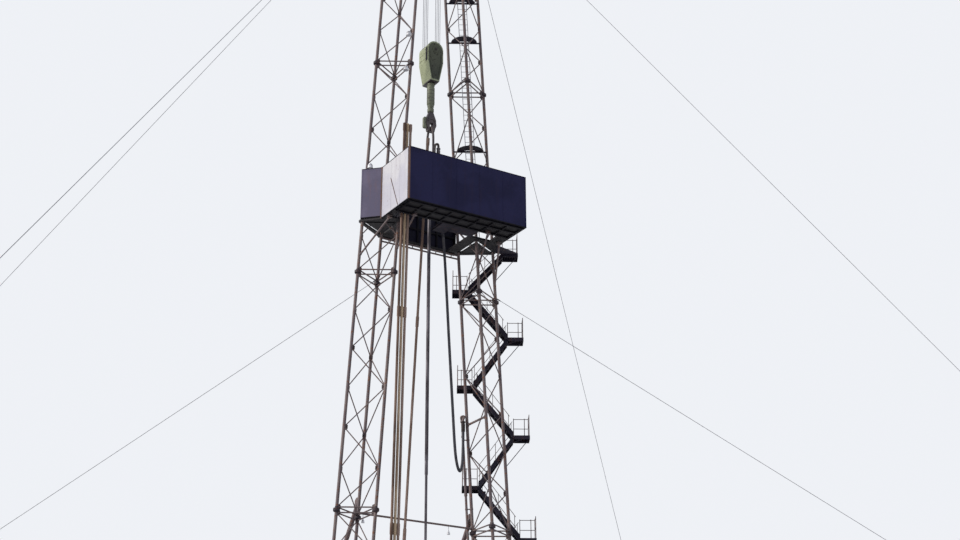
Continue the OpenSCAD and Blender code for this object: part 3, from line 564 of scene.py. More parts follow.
def leg_feet():
    b = Builder("leg_shoes")
    plate_top, top = FLOOR_Z + 0.04, FLOOR_Z + FOOT_H
    post = mm(72, 0, 72, 14, 52, 20, 50, 120, 55, 130, 55, 160)
    rib = mm(45, 0, 92, 0, 92, 15, 52, 100)
    inner, outer, toe = -LEG_IN - 0.13, LEG_OUT + 0.09, HALF_SIDE + 0.09
    for side in (-1, 1):
        outline = [(inner, -toe), (outer, -0.06), (outer, 0.06), (inner, toe)]
        b.prism([(side * (leg_x(top) + p), q) for p, q in outline], FLOOR_Z, plate_top)
        for i in range(3):
            foot = chord(side, i, top)
            foot.z = plate_top
            b.lathe(foot, Z, post, 20)
            for k in range(4):
                a = pi * (k + 0.5) / 2
                b.plate(foot, X * cos(a) + Y * sin(a), Z, rib, 0.008)
            b.bolt_ring(foot, Z, 4, 0.088, 0.008, 0.018, pi / 4 + 0.6)
    b.done(["leg_feet"], "steel", "flange")


# Substructure

def post_places():
    """Where the substructure's posts stand, along x and along y."""
    half_x, edge = FLOOR_MAX[0], 2 * POST_HALF
    return (edge - half_x, -1.85, 1.85, half_x - edge), (FLOOR_MIN[1] + edge, 0, 2.375, FLOOR_MAX[1] - edge)


def columns(xs, ys, low, high):
    b = Builder("substructure_columns")
    cap = 0.012
    for x in xs:
        for y in ys:
            for s in (-1, 1):
                b.pad(x, y + s * 0.069, POST_HALF, 0.006, low + cap, high - cap)
            b.pad(x, y, 0.005, 0.063, low + cap, high - cap)
            for z in (low, high - cap):
                b.pad(x, y, POST_HALF, POST_HALF, z, z + cap)
            b.four_bolts((x, y, low + cap), 0.055, 0.045, 0.008, 0.014)
            b.four_bolts((x, y, high - cap), 0.055, 0.045, 0.008, 0.014, -Z)
    b.done(["substructure_posts"], "dark", "dark")


def cross_braces(xs, ys, low, high):
    b = Builder("substructure_braces")
    gusset = mm(0, -90, 100, -20, 190, 100, 100, 190, 0, 130)
    face, node_h = POST_HALF - 0.002, 0.12
    bays = [((x, p), (x, q)) for x in xs for p, q in zip(ys, ys[1:])]
    bays += [((p, y), (q, y)) for y in ys for p, q in ((xs[0], xs[1]), (xs[2], xs[3]))]
    for p, q in bays:
        p, q = Vector((*p, 0)), Vector((*q, 0))
        along = (q - p).normalized()
        start, end = p + along * face, q - along * face
        inset = face / (q - p).length * (high - low - 2 * node_h)
        foot, head = low + node_h + inset, high - node_h - inset
        for z0, z1 in ((foot, head), (head, foot)):
            b.bar(start + Z * z0, end + Z * z1, 0.03, 14)
        for corner, way in ((start, along), (end, -along)):
            b.plate(corner + Z * foot, way, Z, gusset, 0.01)
            b.plate(corner + Z * head, way, -Z, gusset, 0.01)
        b.plate((start + end) / 2 + Z * ((low + high) / 2), along, Z, rect(0.12, 0.08), 0.01)
    b.done(["substructure_bracing"], "dark", "dark")


def substructure():
    xs, ys = post_places()
    low, high = SKID_TOP, FLOOR_Z - BEAM_DROP
    columns(xs, ys, low, high)
    cross_braces(xs, ys, low, high)
    b = Builder("floor_beam_grid")
    top = FLOOR_Z - 0.06
    lo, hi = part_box("floor_beams")
    for x in xs:
        b.beam((x, lo[1], top), (x, hi[1], top), 0.22, 0.15)
    for y in ys:
        b.beam((lo[0], y, top), (hi[0], y, top), 0.219, 0.149)
    for y in (-0.48, 0.48):
        b.beam((xs[1], y, top), (xs[2], y, top), 0.218, 0.119)
    b.done(["floor_beams"], "dark", "dark")
    b = Builder("skid_cross_pipes")
    for y in (lo[1] + 0.4, hi[1] - 0.4):
        for x0, x1 in (xs[:2], xs[2:]):
            b.bar((x0, y, SKID_TOP / 2), (x1, y, SKID_TOP / 2), 0.05, 16)
    b.done((), "dark", "dark")


def rail_line(b, a, c, z, spaces, r=0.012):
    """Posts on base plates, two rails and a toe board between two points on a deck at height z."""
    a, c = Vector((*a, z)), Vector((*c, z))
    along = (c - a).normalized()
    for k in range(spaces + 1):
        p = a + (c - a) * k / spaces
        b.bar(p, p + Z * RAIL_H, r, 10)
        b.pad(p.x, p.y, 0.024, 0.024, z, z + 0.006)
    for h in (RAIL_H / 2, RAIL_H):
        b.bar(a + Z * h - along * 0.006, c + Z * h + along * 0.006, r - 0.001, 10)
    b.plate((a + c) / 2 + Z * 0.045, along, Z, rect((c - a).length / 2, 0.035), 0.005)


def deck_fittings():
    b = Builder("deck_rails")
    x, front, back = FLOOR_MAX[0] - 0.03, FLOOR_MIN[1] + 0.03, FLOOR_MAX[1] - 0.03
    end = 0.02
    gate_low, gate_high = GROUND_STAIR_Y
    for a, c, spaces in (((end - x, front), (x - end, front), 6), ((end - x, back), (x - end, back), 6),
                         ((x, front + end), (x, back - end), 6), ((-x, front + end), (-x, gate_low), 5),
                         ((-x, gate_high), (-x, back - end), 1)):
        rail_line(b, a, c, FLOOR_Z, spaces)
    b.done(["floor_handrails"], "rail", "rail")
    b = Builder("deck_seams")
    depth = FLOOR_MAX[1] - FLOOR_MIN[1]
    inner, outer = 0.42, FLOOR_MAX[0] - 0.01
    for s in (-1, 1):
        for k in range(1, 6):
            b.pad(s * (inner + outer) / 2, FLOOR_MIN[1] + k * depth / 6, (outer - inner) / 2, 0.012,
                  FLOOR_Z, FLOOR_Z + 0.0025)
        b.pad(s * 1.6, FLOOR_MIN[1] + depth / 2, 0.012, depth / 2 - 0.01, FLOOR_Z, FLOOR_Z + 0.003)
    b.done((), "floor", "dark")


def rotary_table():
    b = Builder("rotary_table_ring")
    outer, inner = 0.345, 0.25
    mid, half = (outer + inner) / 2, (outer - inner) / 2
    for s in (-1, 1):
        b.pad(s * mid, 0, half, outer, FLOOR_Z - 0.06, FLOOR_Z)
        b.pad(0, s * mid, inner, half, FLOOR_Z - 0.06, FLOOR_Z)
    turntable = mm(90, -236, 270, -240, 280, -230, 280, -1, 300, -1, 300, 4, 240, 4, 236, 42, 232, 45,
                   150, 45, 144, 38, 104, 36, 90, 30)
    b.lathe(Z * FLOOR_Z, Z, turntable + turntable[:1], 48, closed=False)
    b.bolt_ring(Z * (FLOOR_Z + 0.045), Z, 16, 0.19, 0.009, 0.012)
    b.four_bolts((0, 0, FLOOR_Z), 0.31, 0.31, 0.012, 0.016)
    b.done(["rotary_table"], "dark", "machine")


def rear_struts():
    b = Builder("rear_strut_pair")
    foot_y = FLOOR_MAX[1] - 0.3
    lug = mm(30, -90, 140, -90, 170, -30, 170, 50, 110, 100, 30, 100)
    shoe = mm(-60, -50, 60, -50, 60, 20, 30, 58, -30, 58, -60, 20)
    for side in (-1, 1):
        top = chord(side, 1, FLOOR_Z + SECTION_H + 0.4)
        foot = Vector((top.x, foot_y, FLOOR_Z + 0.09))
        along = (foot - top).normalized()
        start = top + along * 0.06
        length = (foot - start).length
        b.lathe(start, along, [(0.03, 0), (0.05, 0.09), (0.05, length - 0.09), (0.036, length)], 20)
        for s in (-1, 1):
            b.plate(top + Vector((s * 0.016, 0, -0.04)), Y, Z, lug, 0.008)
            b.plate(foot + X * (s * 0.05), Y, Z, shoe, 0.014)
        b.bar(foot - X * 0.07, foot + X * 0.07, 0.018, 14)
        b.pad(top.x, foot_y, 0.13, 0.13, FLOOR_Z, FLOOR_Z + 0.04)
        b.four_bolts((top.x, foot_y, FLOOR_Z + 0.04), 0.1, 0.1, 0.01, 0.02)
    b.done(["left_rear_strut", "right_rear_strut"], "steel", "steel")


def belts():
    """The two belts between the legs' back chords, the lower one with its two lamps."""
    b = Builder("belt_pipes")
    trim = X * (CHORD_R - 0.004)

    def tie(z, r, sides):
        a, c = chord(-1, 1, z), chord(1, 1, z)
        b.bar(a + trim, c - trim, r, sides)
        return a, c
    z = FLOOR_Z + SECTION_H + 0.105
    a, c = tie(z, 0.022, 16)
    for p, way in ((a, X), (c, -X)):
        b.lathe(p + way * CHORD_R, way, mm(34, 0, 34, 20, 22, 22), 16)
    b.paint = 1
    lamp_shade = mm(35, 0, 34, 20, 28, 50, 12, 80, 12, 92)
    for x in (-1.32, 0.82):
        p = Vector((x, HALF_SIDE, z))
        b.bar(p, p - Z * 0.11, 0.006, 8)
        b.lathe(p - Z * 0.2, Z, lamp_shade, 18)
        b.lathe(p - Z * 0.198, Z, mm(30, 0, 30, 2), 18)
    b.paint = 0
    depth = 0.09
    a, c = tie(BALCONY_Z - 0.16, 0.02, 14)
    tie(BALCONY_Z - 0.16 + depth, 0.02, 14)
    for k in range(1, 10):
        p = a.lerp(c, k / 10)
        b.bar(p, p + Z * depth, 0.011, 8)
    b.done(["lower_belt", "upper_belt"], "steel", "steel", "lamp")


# Balcony

def wall(name, a, c, low, high, panels):
    """A wall outside the line from a to c: sheet, cover strips with bolts, cap and inner frame."""
    a, c = Vector((*a, low)), Vector((*c, low))
    u = (c - a).normalized()
    n = Vector((u.y, -u.x, 0))
    length, h = (c - a).length, high - low
    half, cap = 0.016, 0.012
    b = Builder(name)

    def slab(*sizes):
        b.slab(a, u, n, sizes)
    slab(0, length, 0.016, 0.024, 0.004, h - 0.004)
    b.paint = 1
    slab(0, length, 0.004, WALL_T, h - cap, h)
    slab(0, length, 0.004, WALL_T - 0.001, 0, 0.02)
    for z in (0.33 * h, 0.66 * h):
        slab(0.01, length - 0.01, -0.02, 0.016, z - 0.018, z + 0.018)
    for k in range(panels + 1):
        x = min(max(k * length / panels, half), length - half)
        b.paint = 0
        slab(x - half, x + half, 0.024, WALL_T - 0.003, 0.02, h - cap)
        for j in range(10):
            b.bolt(a + u * x + n * (WALL_T - 0.004) + Z * (h * (j + 0.5) / 10), n, 0.0045, 0.005)
        b.paint = 1
        slab(x - half, x + half, -0.028, 0.015, 0, h - 0.01)
    return b


def balcony_walls():
    low, high = BALCONY_Z, BALCONY_Z + WALL_H
    corner_x = leg_x(BALCONY_Z) + LEG_OUT + CORNER_X
    back_x = leg_x(BALCONY_Z) - LEG_IN
    post_x = LEFT_X - WALL_T
    # The front sheets' finish holds painted shade on top of their dark paint
    b = wall("front_wall_sheets", (post_x, -FRONT_Y), (RIGHT_X + WALL_T, -FRONT_Y), low, high, 5)
    b.paint = 2
    b.box((post_x - 0.002, -FRONT_Y - WALL_T - 0.004, low), (post_x + 0.034, -FRONT_Y - 0.001, high))
    b.done(["balcony_front_wall"], "front", "front", "frame", "rusty")
    b = wall("left_wall_sheets", (LEFT_X, SIDE_BACK), (LEFT_X, -FRONT_Y), low, high, 3)
    b.paint = 2
    corner, length = Vector((LEFT_X, SIDE_BACK, low)), FRONT_Y + SIDE_BACK
    start = corner + Vector((-WALL_T - 0.001, -0.6 * length, 0.03 * WALL_H))
    b.bar(start - Y * (0.02 * length), start + Vector((0, 0.26 * length, 0.62 * WALL_H)), 0.007, 6)
    post = corner + Vector((-WALL_T, 0.002, 0))
    b.bar(post, post + Z * WALL_H, 0.02, 10)
    b.done(["balcony_left_wall"], "pale", "pale", "frame", "rusty")
    # The right and back sheets' finishes hold painted shade on top of their dark paint
    for name, nodes, key, a, c, z, panels in (
            ("right_wall_sheets", ["balcony_right_wall"], "right",
             (RIGHT_X, -FRONT_Y), (RIGHT_X, SIDE_BACK), low, 3),
            ("left_corner_sheets", ["balcony_corner_panels"], "corner",
             (-corner_x, CORNER_Y), (LEFT_X, SIDE_BACK + 0.022), low + BALCONY_T, 1),
            ("doorway_head", (), "corner", (RIGHT_X, SIDE_BACK + 0.016), (corner_x, CORNER_Y), low + 1.05, 1),
            ("back_wall_sheets", ["balcony_back_wall"], "back",
             (back_x, BALCONY_BACK), (-back_x, BALCONY_BACK), low, 4)):
        wall(name, a, c, z, high, panels).done(nodes, key, key, "frame")


def balcony_joists():
    b = Builder("balcony_joists")
    z = BALCONY_Z
    for y in (-FRONT_Y + 0.04, -1.32, -1.0):
        b.beam((LEFT_X + 0.02, y, z), (RIGHT_X - 0.02, y, z), 0.035, 0.05, 0.006, 0.006)
    for k in range(9):
        x = LEFT_X + 0.06 + k * (RIGHT_X - LEFT_X - 0.12) / 8
        b.beam((x, -FRONT_Y + 0.01, z), (x, -1.0, z), 0.032, 0.034, 0.005, 0.005)
    b.beam((-1.0, BALCONY_BACK - 0.035, z), (1.0, BALCONY_BACK - 0.035, z), 0.035, 0.05, 0.006, 0.006)
    b.done((), "floor", "frame")


def knee_braces():
    b = Builder("knee_brace_pipes")
    r = 0.022
    for side, wall_x in ((-1, LEFT_X), (1, RIGHT_X)):
        for i, rise, end in ((0, 0.56, (side * 0.975, -1.04)), (2, 0.4, (wall_x - side * 0.06, -0.64))):
            a, c = chord(side, i, MID_Z + rise), Vector((*end, BALCONY_Z - 0.04))
            b.bar(a, c, r, 14)
            b.plate(c, X, Y, rect(0.05, 0.039), 0.03)
            b.pad(c.x, c.y, 0.05, 0.039, c.z, BALCONY_Z - 0.0003)
            along = (c - a).normalized()
            b.lathe(a + along * 0.03, along, [(r + 0.01, 0), (r + 0.01, 0.02), (r, 0.04)], 14)
    b.done(["balcony_braces"], "steel", "steel")


def finger_board():
    b = Builder("pipe_fingers")
    z, front = BALCONY_Z, WELL_FRONT
    for k in range(4):
        x = -1.278 + k * 0.08
        finger = [(x, front), (x + 0.018, front), (x + 0.018, -0.585), (x + 0.009, -0.566), (x, -0.585)]
        b.prism(finger, z + 0.006, z + 0.044)
        for j in range(5):
            b.bolt((x + 0.009, -0.95 + j * 0.09, z + 0.044), Z, 0.004, 0.005)
    b.box((0.1803, front, z), (0.8, -0.565, z + BALCONY_T))
    b.box((-0.18, front, z), (0.18, -0.42, z + 0.012))
    for s in (-1, 1):
        b.box((s * 0.172 - 0.008, front, z), (s * 0.172 + 0.008, -0.42, z + 0.05))
    for k in range(4):
        b.pad(0, -0.982 + k * 0.18, 0.164, 0.008, z + 0.012, z + 0.046)
    b.done(["finger_board"], "dark", "dark")


def racked_stands():
    """Four stands of three joined pipes, one of them leaning away from the rest."""
    b = Builder("drill_pipe_stands")
    places = [((-1.315 + 0.08 * k, -0.9), (-1.118 + 0.08 * k, -0.9), k + 1) for k in (-1, 0, 1)]
    places.append(((-1.07, -0.56), (-0.35, -0.52), 2))
    for foot, head, b.paint in places:
        a, c = Vector((*foot, FLOOR_Z + 0.001)), Vector((*head, FLOOR_Z + STAND_H + 0.001))
        length = (c - a).length
        profile = [(0.02, 0), (0.026, 0.03), (PIPE_R, 0.034)]
        for k in range(3):
            h = k * length / 3 + 0.04
            profile += [(PIPE_R, h - 0.006), (JOINT_R, h + 0.016), (JOINT_R, h + 0.128),
                        (JOINT_R - 0.002, h + 0.13), (JOINT_R, h + 0.132), (JOINT_R, h + 0.244),
                        (PIPE_R, h + 0.262)]
        profile += [(PIPE_R, length - 0.205), (JOINT_R, length - 0.18), (JOINT_R, length - 0.004),
                    (JOINT_R - 0.004, length)]
        b.lathe(a, c - a, profile, 18)
    b.done(["racked_pipes"], "pipe", "pipe", "pipe_tan", "pipe_pink")


# Stair

def stair_pt(u, n, z):
    return Vector((chord(1, 1, z).x, HALF_SIDE, z)) + STAIR_U * u + STAIR_N * n


def landing_z(k):
    return BALCONY_Z + BALCONY_T - k * FLIGHT_H + (0.235 if k else 0)


def landing_u(k):
    return 0 if k % 2 else FAR_U


def flight_ends(k):
    """Ends of the flight below landing k - 1, as u and z of its foot and its head."""
    side = -1 if k % 2 else 1
    head = landing_u(k - 1) + side * LANDING_L / 2
    foot = head - 0.56 if k == LANDINGS else landing_u(k) - side * LANDING_L / 2
    return foot, FLOOR_Z if k == LANDINGS else landing_z(k), head, landing_z(k - 1)


def flight(k, treads, boards, rails):
    """Side boards with edge strips, pressed treads and the outer rail of the flight below landing k - 1."""
    u0, z0, u1, z1 = flight_ends(k)
    mid = (z0 + z1) / 2
    base = stair_pt(0, 0, mid) - Z * mid
    lean = STAIR_U.x * (LEG_TOP_X - LEG_BASE_X) / (TOP_Z - FLOOR_Z)
    foot_u, head_u = u0 + lean * (z0 - mid), u1 + lean * (z1 - mid)
    board = [(foot_u, z0 - (0 if k == LANDINGS else LANDING_T)), (foot_u, z0 + 0.07), (head_u, z1 + 0.015),
             (head_u, z1 - 0.12)]
    strip = 0.011
    for n, s in ((STAIR_NEAR, 1), (STAIR_FAR, -1)):
        boards.plate(base + STAIR_N * (n + s * 0.003), STAIR_U, Z, board, 0.006)
        for i, j, rise in ((1, 2, -0.004), (0, 3, 0.004)):
            p, q = (base + STAIR_N * (n + s * strip) + STAIR_U * u + Z * z for u, z in (board[i], board[j]))
            boards.plate((p + q) / 2 + Z * rise, q - p, STAIR_N, rect((q - p).length / 2, strip), 0.006)

    def at(f, n, rise=0):
        p = stair_pt(u0 + f * (u1 - u0), n, mid)
        p.z = z0 + f * (z1 - z0) + rise
        return p
    count = round((z1 - z0) / (FLIGHT_H / (TREADS + 1))) - 1
    grip = mm(-4, -1, 4, -1, 0, 3)
    edge, lip = 0.05, 0.004
    for i in range(1, count + 1):
        p = at(i / (count + 1), 0)
        for u_low, u_high, z_low, z_high in ((-edge, edge, -0.0055, -0.0005), (-edge, lip - edge, -0.034, 0),
                                             (edge - lip, edge, -0.034, 0)):
            treads.slab(p, STAIR_U, STAIR_N,
                        (u_low, u_high, STAIR_NEAR + 0.014, STAIR_FAR - 0.014, z_low, z_high))
        for j in range(4):
            c = p + STAIR_U * (-0.036 + 0.024 * j)
            treads.loft([[c + STAIR_U * a + STAIR_N * n + Z * h for a, h in grip]
                         for n in (STAIR_NEAR + 0.02, STAIR_FAR - 0.02)])
    rail_n, r = STAIR_FAR + 0.007, 0.007
    for rise in (RAIL_H / 2, RAIL_H):
        rails.bar(at(0.05, rail_n, rise), at(0.95, rail_n, rise), r, 8)
    for f in (0.08, 0.5, 0.92):
        rails.bar(at(f, rail_n), at(f, rail_n, RAIL_H), r, 8)


def landing(k, decks, rails):
    """Deck plate on its frame and joists, brackets to the leg, rails and a toe board of landing k."""
    z, u, side = landing_z(k), landing_u(k), -1 if k % 2 else 1
    half, edge, inset = LANDING_L / 2, 0.008, 0.016
    origin = stair_pt(u, 0, z)
    near, far, under = STAIR_NEAR, STAIR_FAR, Z * (LANDING_T - 0.005)

    def slab(*sizes):
        decks.slab(origin, STAIR_U, STAIR_N, sizes)
    slab(-half, half, near, far, -0.006, 0)
    for sides in ((-half, half, near, near + edge), (-half, half, far - edge, far),
                  (-half, edge - half, near, far), (half - edge, half, near, far)):
        slab(*sides, -LANDING_T, -0.004)
    for j in range(1, 6):
        joist = -half + j * LANDING_L / 6
        slab(joist - 0.003, joist + 0.003, near + edge, far - edge, -0.045, -0.004)
    slab(-half, half, far - 0.006, far - 0.002, 0, 0.05)
    if k % 2:
        decks.bar(chord(1, 1, z - LANDING_T / 2), stair_pt(0, near + 0.003, z - LANDING_T / 2), 0.012, 10)
    elif k:
        decks.bar(chord(1, 2, z - 0.28), origin + STAIR_N * (near + 0.04) - under, 0.01, 10)
    if k % 2 == 0 and k < LANDINGS - 1:
        decks.bar(chord(1, 2, z - 0.78), origin + STAIR_U * (half - 0.03) + STAIR_N * (near + 0.06) - under,
                  0.009, 8)
    open_u, end_u = u - side * (half - inset), u + side * (half - inset)
    for post_u, n in ((open_u, far - inset), (end_u - side * 0.09, far - inset), (end_u, near + inset),
                      (end_u, far - inset)):
        p = stair_pt(post_u, n, z)
        rails.bar(p, p + Z * RAIL_H, 0.009, 8)
    for rise in (Z * (0.5 * RAIL_H), Z * (0.96 * RAIL_H)):
        for (u_a, n_a), (u_b, n_b) in (((open_u - side * 0.006, far - inset), (end_u, far - inset)),
                                       ((end_u, near + 0.01), (end_u, far - 0.01))):
            rails.bar(stair_pt(u_a, n_a, z) + rise, stair_pt(u_b, n_b, z) + rise, 0.008, 8)


def ground_stair(treads, boards):
    """The straight stair from the ground to the floor's left side."""
    steps, going, board_t = 24, 0.115, 0.012
    front = -FLOOR_MAX[0]
    start = front - steps * going
    low, high = GROUND_STAIR_Y
    board = [(start - 0.06, 0), (start + 0.09, 0), (front, FLOOR_Z - 0.16), (front, FLOOR_Z),
             (front - 0.03, FLOOR_Z)]
    for y in (low + 0.01, high - 0.01):
        boards.plate((0, y, 0), X, Z, board, board_t)
    for k in range(1, steps + 1):
        x, h = start + (k - 1) * going, k * FLOOR_Z / (steps + 1)
        for x0, x1, z0, z1 in ((0, 0.125, -0.012, -0.006), (0, 0.005, -0.034, -0.006),
                               (0.004, 0.02, -0.006, 0)):
            treads.box((x + x0, low + 0.022, h + z0), (x + x1, high - 0.022, h + z1))


def stair():
    names = "tread_plates", "side_boards", "rails", "decks"
    treads, boards, rails, decks = (Builder(f"stair_{name}") for name in names)
    for k in range(1, LANDINGS + 1):
        flight(k, treads, boards, rails)
    for k in range(LANDINGS):
        landing(k, decks, rails)
    z = landing_z(0)
    bridge = [(leg_x(BALCONY_Z) + LEG_OUT + CORNER_X, CORNER_Y), (RIGHT_X, SIDE_BACK)]
    bridge += [stair_pt(FAR_U + s * LANDING_L / 2, STAIR_NEAR, z).xy for s in (1, -1)]
    decks.prism(bridge, z - 0.04, z - 0.001)
    ground_stair(treads, boards)
    treads.done(["stair_treads"], "dark", "dark")
    boards.done(["stair_stringers"], "dark", "dark")
    rails.done(["stair_handrails"], "rail", "steel")
    decks.done(["stair_landings"], "dark", "dark")


def ladder():
    b = Builder("ladder_rungs")
    low, high = BALCONY_Z + BALCONY_T, TOP_Z - 0.06
    half, pitch = 0.11, 0.15

    def rail_at(z, s):
        return stair_pt(LEG_SIDE / 2 + s * half, -0.075, z)
    for k in range(1, int((high - low) / pitch) + 1):
        b.bar(rail_at(low + k * pitch, -1), rail_at(low + k * pitch, 1), 0.006, 8)
    holds = [(low + (high - low) * k / 22, 0.06) for k in range(1, 22, 2)]
    holds += [(MID_Z + SECTION_H + rise, 0.058) for rise in (-0.06, 0.06)]
    for s in (-1, 1):
        b.bar(rail_at(low, s), rail_at(high, s), 0.009, 10)
        for z, reach in holds:
            b.bar(rail_at(z, s), rail_at(z, s) + STAIR_N * reach, 0.006, 6)
    b.done(["leg_ladder"], "rail", "galvanised")


def lamps():
    """Floodlights on arms: heads with cooling fins."""
    b = Builder("floodlight_heads")
    head = mm(52, 12, 60, 4, 65, 0, 65, 22, 55, 60, 36, 92, 26, 118, 12, 120)
    side_out, front_out = Vector((-0.96, -0.28, 0)), -Y
    for i, rise, away in ((0, SECTION_H - 0.15, side_out), (0, SECTION_H + 0.83, side_out),
                          (2, SECTION_H / 2 - 0.07, front_out)):
        c = chord(-1, i, MID_Z + rise)
        tip = c + away * 0.15
        b.paint = 1
        b.bar(c + away * 0.03, tip + away * 0.004, 0.008, 8)
        b.paint = 0
        b.lathe(tip - Z * 0.1, Z, head, 28)
        for k in range(4):
            fin_r = 0.06 - 0.004 * k
            b.lathe(tip - Z * (0.046 - 0.013 * k), Z, [(fin_r, 0), (fin_r, 0.004)], 28)
    b.done(["floodlights"], "lamp", "lamp", "dark")


# Crown

def crown_beams():
    b = Builder("crown_beams")
    z = CROWN_DECK_Z
    for y in (-HALF_SIDE, HALF_SIDE):
        b.beam((-1.25, y, z), (1.25, y, z), CROWN_BEAM_H, 0.12)
        for x in (-1.0, -0.72, -0.2, 0.2, 0.72, 1.0):
            b.pad(x, y, 0.004, 0.055, TOP_Z + 0.012, z - 0.012)
    for x in (-1.19, -0.45, 0.45, 1.19):
        b.beam((x, -HALF_SIDE, z - 0.001), (x, HALF_SIDE, z - 0.001), CROWN_BEAM_H - 0.002, 0.118)
    b.done(["crown_frame"], "steel", "steel")


def crown_deck():
    b = Builder("crown_deck")
    z, half_x, half_y, well_x, well_y, edge = CROWN_DECK_Z, 1.6, 0.9, 0.52, 0.33, 0.012
    for s in (-1, 1):
        b.pad(s * (half_x + well_x) / 2, 0, (half_x - well_x) / 2, half_y, z + 0.018, z + 0.03)
        b.pad(0, s * (half_y + well_y) / 2, well_x, (half_y - well_y) / 2, z + 0.018, z + 0.03)
        b.pad(0, s * (half_y - edge / 2), half_x, edge / 2, z, z + 0.08)
        b.pad(s * (half_x - edge / 2), 0, edge / 2, half_y - edge, z, z + 0.079)
    for k in range(17):
        x = -1.594 + k * 3.188 / 16
        if abs(x) > 0.53:
            b.pad(x, 0, 0.006, 0.895, z, z + 0.019)
    x, y, end = 1.58, 0.88, 0.02
    for s in (-1, 1):
        rail_line(b, (end - x, s * y), (x - end, s * y), z + 0.03, 5, 0.01)
        rail_line(b, (s * x, end - y), (s * x, y - end), z + 0.03, 3, 0.01)
    b.done(["crown_platform"], "dark", "dark")


def crown_bearings():
    b = Builder("crown_bearings")
    z, pin = CROWN_DECK_Z, CROWN_PIN_Z
    right = [(0.51, z + 0.0003), (0.51, z + 0.03), (0.15, z + 0.06), (0.08, pin), (0.055, pin + 0.055)]
    outline = right + [(-x, h) for x, h in reversed(right)]
    for s in (-1, 1):
        y = s * 0.22
        b.plate((0, y, 0), X, Z, outline, 0.03)
        b.lathe((0, y - s * 0.004, pin), Y * s, mm(52, 0, 52, 22, 40, 24, 40, 28), 20)
        b.pad(0, y, 0.51, 0.02, z + 0.0003, z + 0.012)
    b.done((), "dark", "steel")


def gin_pole():
    b = Builder("gin_pole_frame")
    base, apex = CROWN_DECK_Z + 0.03, Vector((0, 0, TOP_Z + 1.78))
    for x in (-1.3, 1.3):
        for y in (-0.7, 0.7):
            b.bar((x, y, base + 0.02), apex + X * copysign(0.12, x), 0.025, 14)
            b.pad(x, y, 0.06, 0.06, base, base + 0.012)
            for p in (-0.045, 0.045):
                b.bolt((x + p, y + p, base + 0.012), Z, 0.006, 0.01)
    b.bar(apex - X * 0.3, apex + X * 0.3, 0.03, 16)
    pulley = mm(40, 0, 55, 6, 46, 22, 46, 38, 55, 54, 40, 60)
    b.lathe(apex - Vector((0, 0.03, 0.085)), Y, pulley, 20)
    for s in (-1, 1):
        b.plate(apex + Vector((0, s * 0.036, -0.05)), X, Z, mm(-30, -80, 30, -80, 40, 40, -40, 40), 0.006)
    b.done(["gin_pole"], "steel", "steel")


def sheave_cluster(name, z, half, body, node):
    """Grooved sheaves with webs, hubs and their pin."""
    b = Builder(name)
    side = mm(30, 24, 60, 24, 64, 12, 130, 9, 150, 20)
    side += [(SHEAVE_R - 0.002, 0.023), (SHEAVE_R, 0.019), (GROOVE_R + 0.004, 0.009), (GROOVE_R, 0.004)]
    section = side + [(r, -d) for r, d in side[::-1]] + side[:1]
    for y in SHEAVE_YS:
        b.lathe((0, y, z), -Y, section, 48, closed=False)
    b.bar((0, -half, z), (0, half, z), 0.03, 20)
    for s in (-1, 1):
        b.lathe((0, s * (half - 0.03), z), Y * s, mm(44, 0, 44, 24, 30, 26), 6)
    b.done([node], "dark", "machine", body=body)


def crown_sheaves():
    sheave_cluster("crown_sheave_wheels", CROWN_PIN_Z, 0.24, "frame", "crown_sheaves")


# Pipework and guys

def standpipe():
    """The pipe up the right leg with its couplings, clamps, yellow valve and gooseneck."""
    b = Builder("standpipe_line")
    r = 0.028
    end = Vector(HOSE_ROUTE[-1])
    top_z = end.z + 0.04

    def beside(z):
        return chord(1, 1, z) + Vector((-0.095, 0.06, 0))

    def collar(z, profile, sides):
        b.lathe(beside(z), beside(z + 1) - beside(z), profile, sides)
    top = beside(top_z)
    b.bar(beside(FLOOR_Z + 0.042), top, r, 18)
    bend = [top, top + Vector((-0.04, -0.025, 0.09)), Vector((end.x + 0.04, end.y + 0.025, top_z + 0.11)),
            end + Z * 0.06, end]
    b.sweep(smooth_path(bend, 4), r, 18)
    b.lathe(top - Z * 0.03, Z, band(0.042, 0.05, 0.002, 0.005), 12)
    for z in (6.8, 8.15, 9.5, 10.85):
        collar(z, band(0.038, 0.06, 0.002, 0.01), 12)
    for z in (4.4, 6, 7.6, 9.2, 10.8):
        a, c = beside(z), chord(1, 1, z)
        d = (c - a).normalized()
        b.bar(a + d * 0.02, c - d * 0.03, 0.013, 8)
        for p, clamp_r in ((a, 0.033), (c, 0.041)):
            b.lathe(p - Z * 0.015, Z, band(clamp_r, 0.03, 0.006, 0), 16)
    b.paint = 1
    collar(4.9, band(0.05, 0.1, 0.004, 0.006), 20)
    b.done(["standpipe"], "steel", "steel", "rail")


def guy(b, top, foot):
    """One guy with its upper socket, clips, turnbuckle and eye."""
    d = (foot - top).normalized()
    b.paint = 0
    b.bar(top + d * 0.03, foot - d * 0.55, GUY_R, 8)
    b.paint = 1
    b.lathe(top, d, [(0.01, 0.03), (0.014, 0.045), (0.014, 0.11), (GUY_R + 0.001, 0.16)], 10)
    turnbuckle = mm(6, 600, 13, 560, 13, 520, 7, 500, 7, 460, 16, 440, 16, 160, 7, 140, 7, 50, 12, 30,
                    12, 2)
    b.lathe(foot, d, [(r, -h) for r, h in turnbuckle], 10)
    for k in range(3):
        b.lathe(foot - d * (0.78 - 0.05 * k), d, band(0.012, 0.025, 0.005, 0.005), 8)


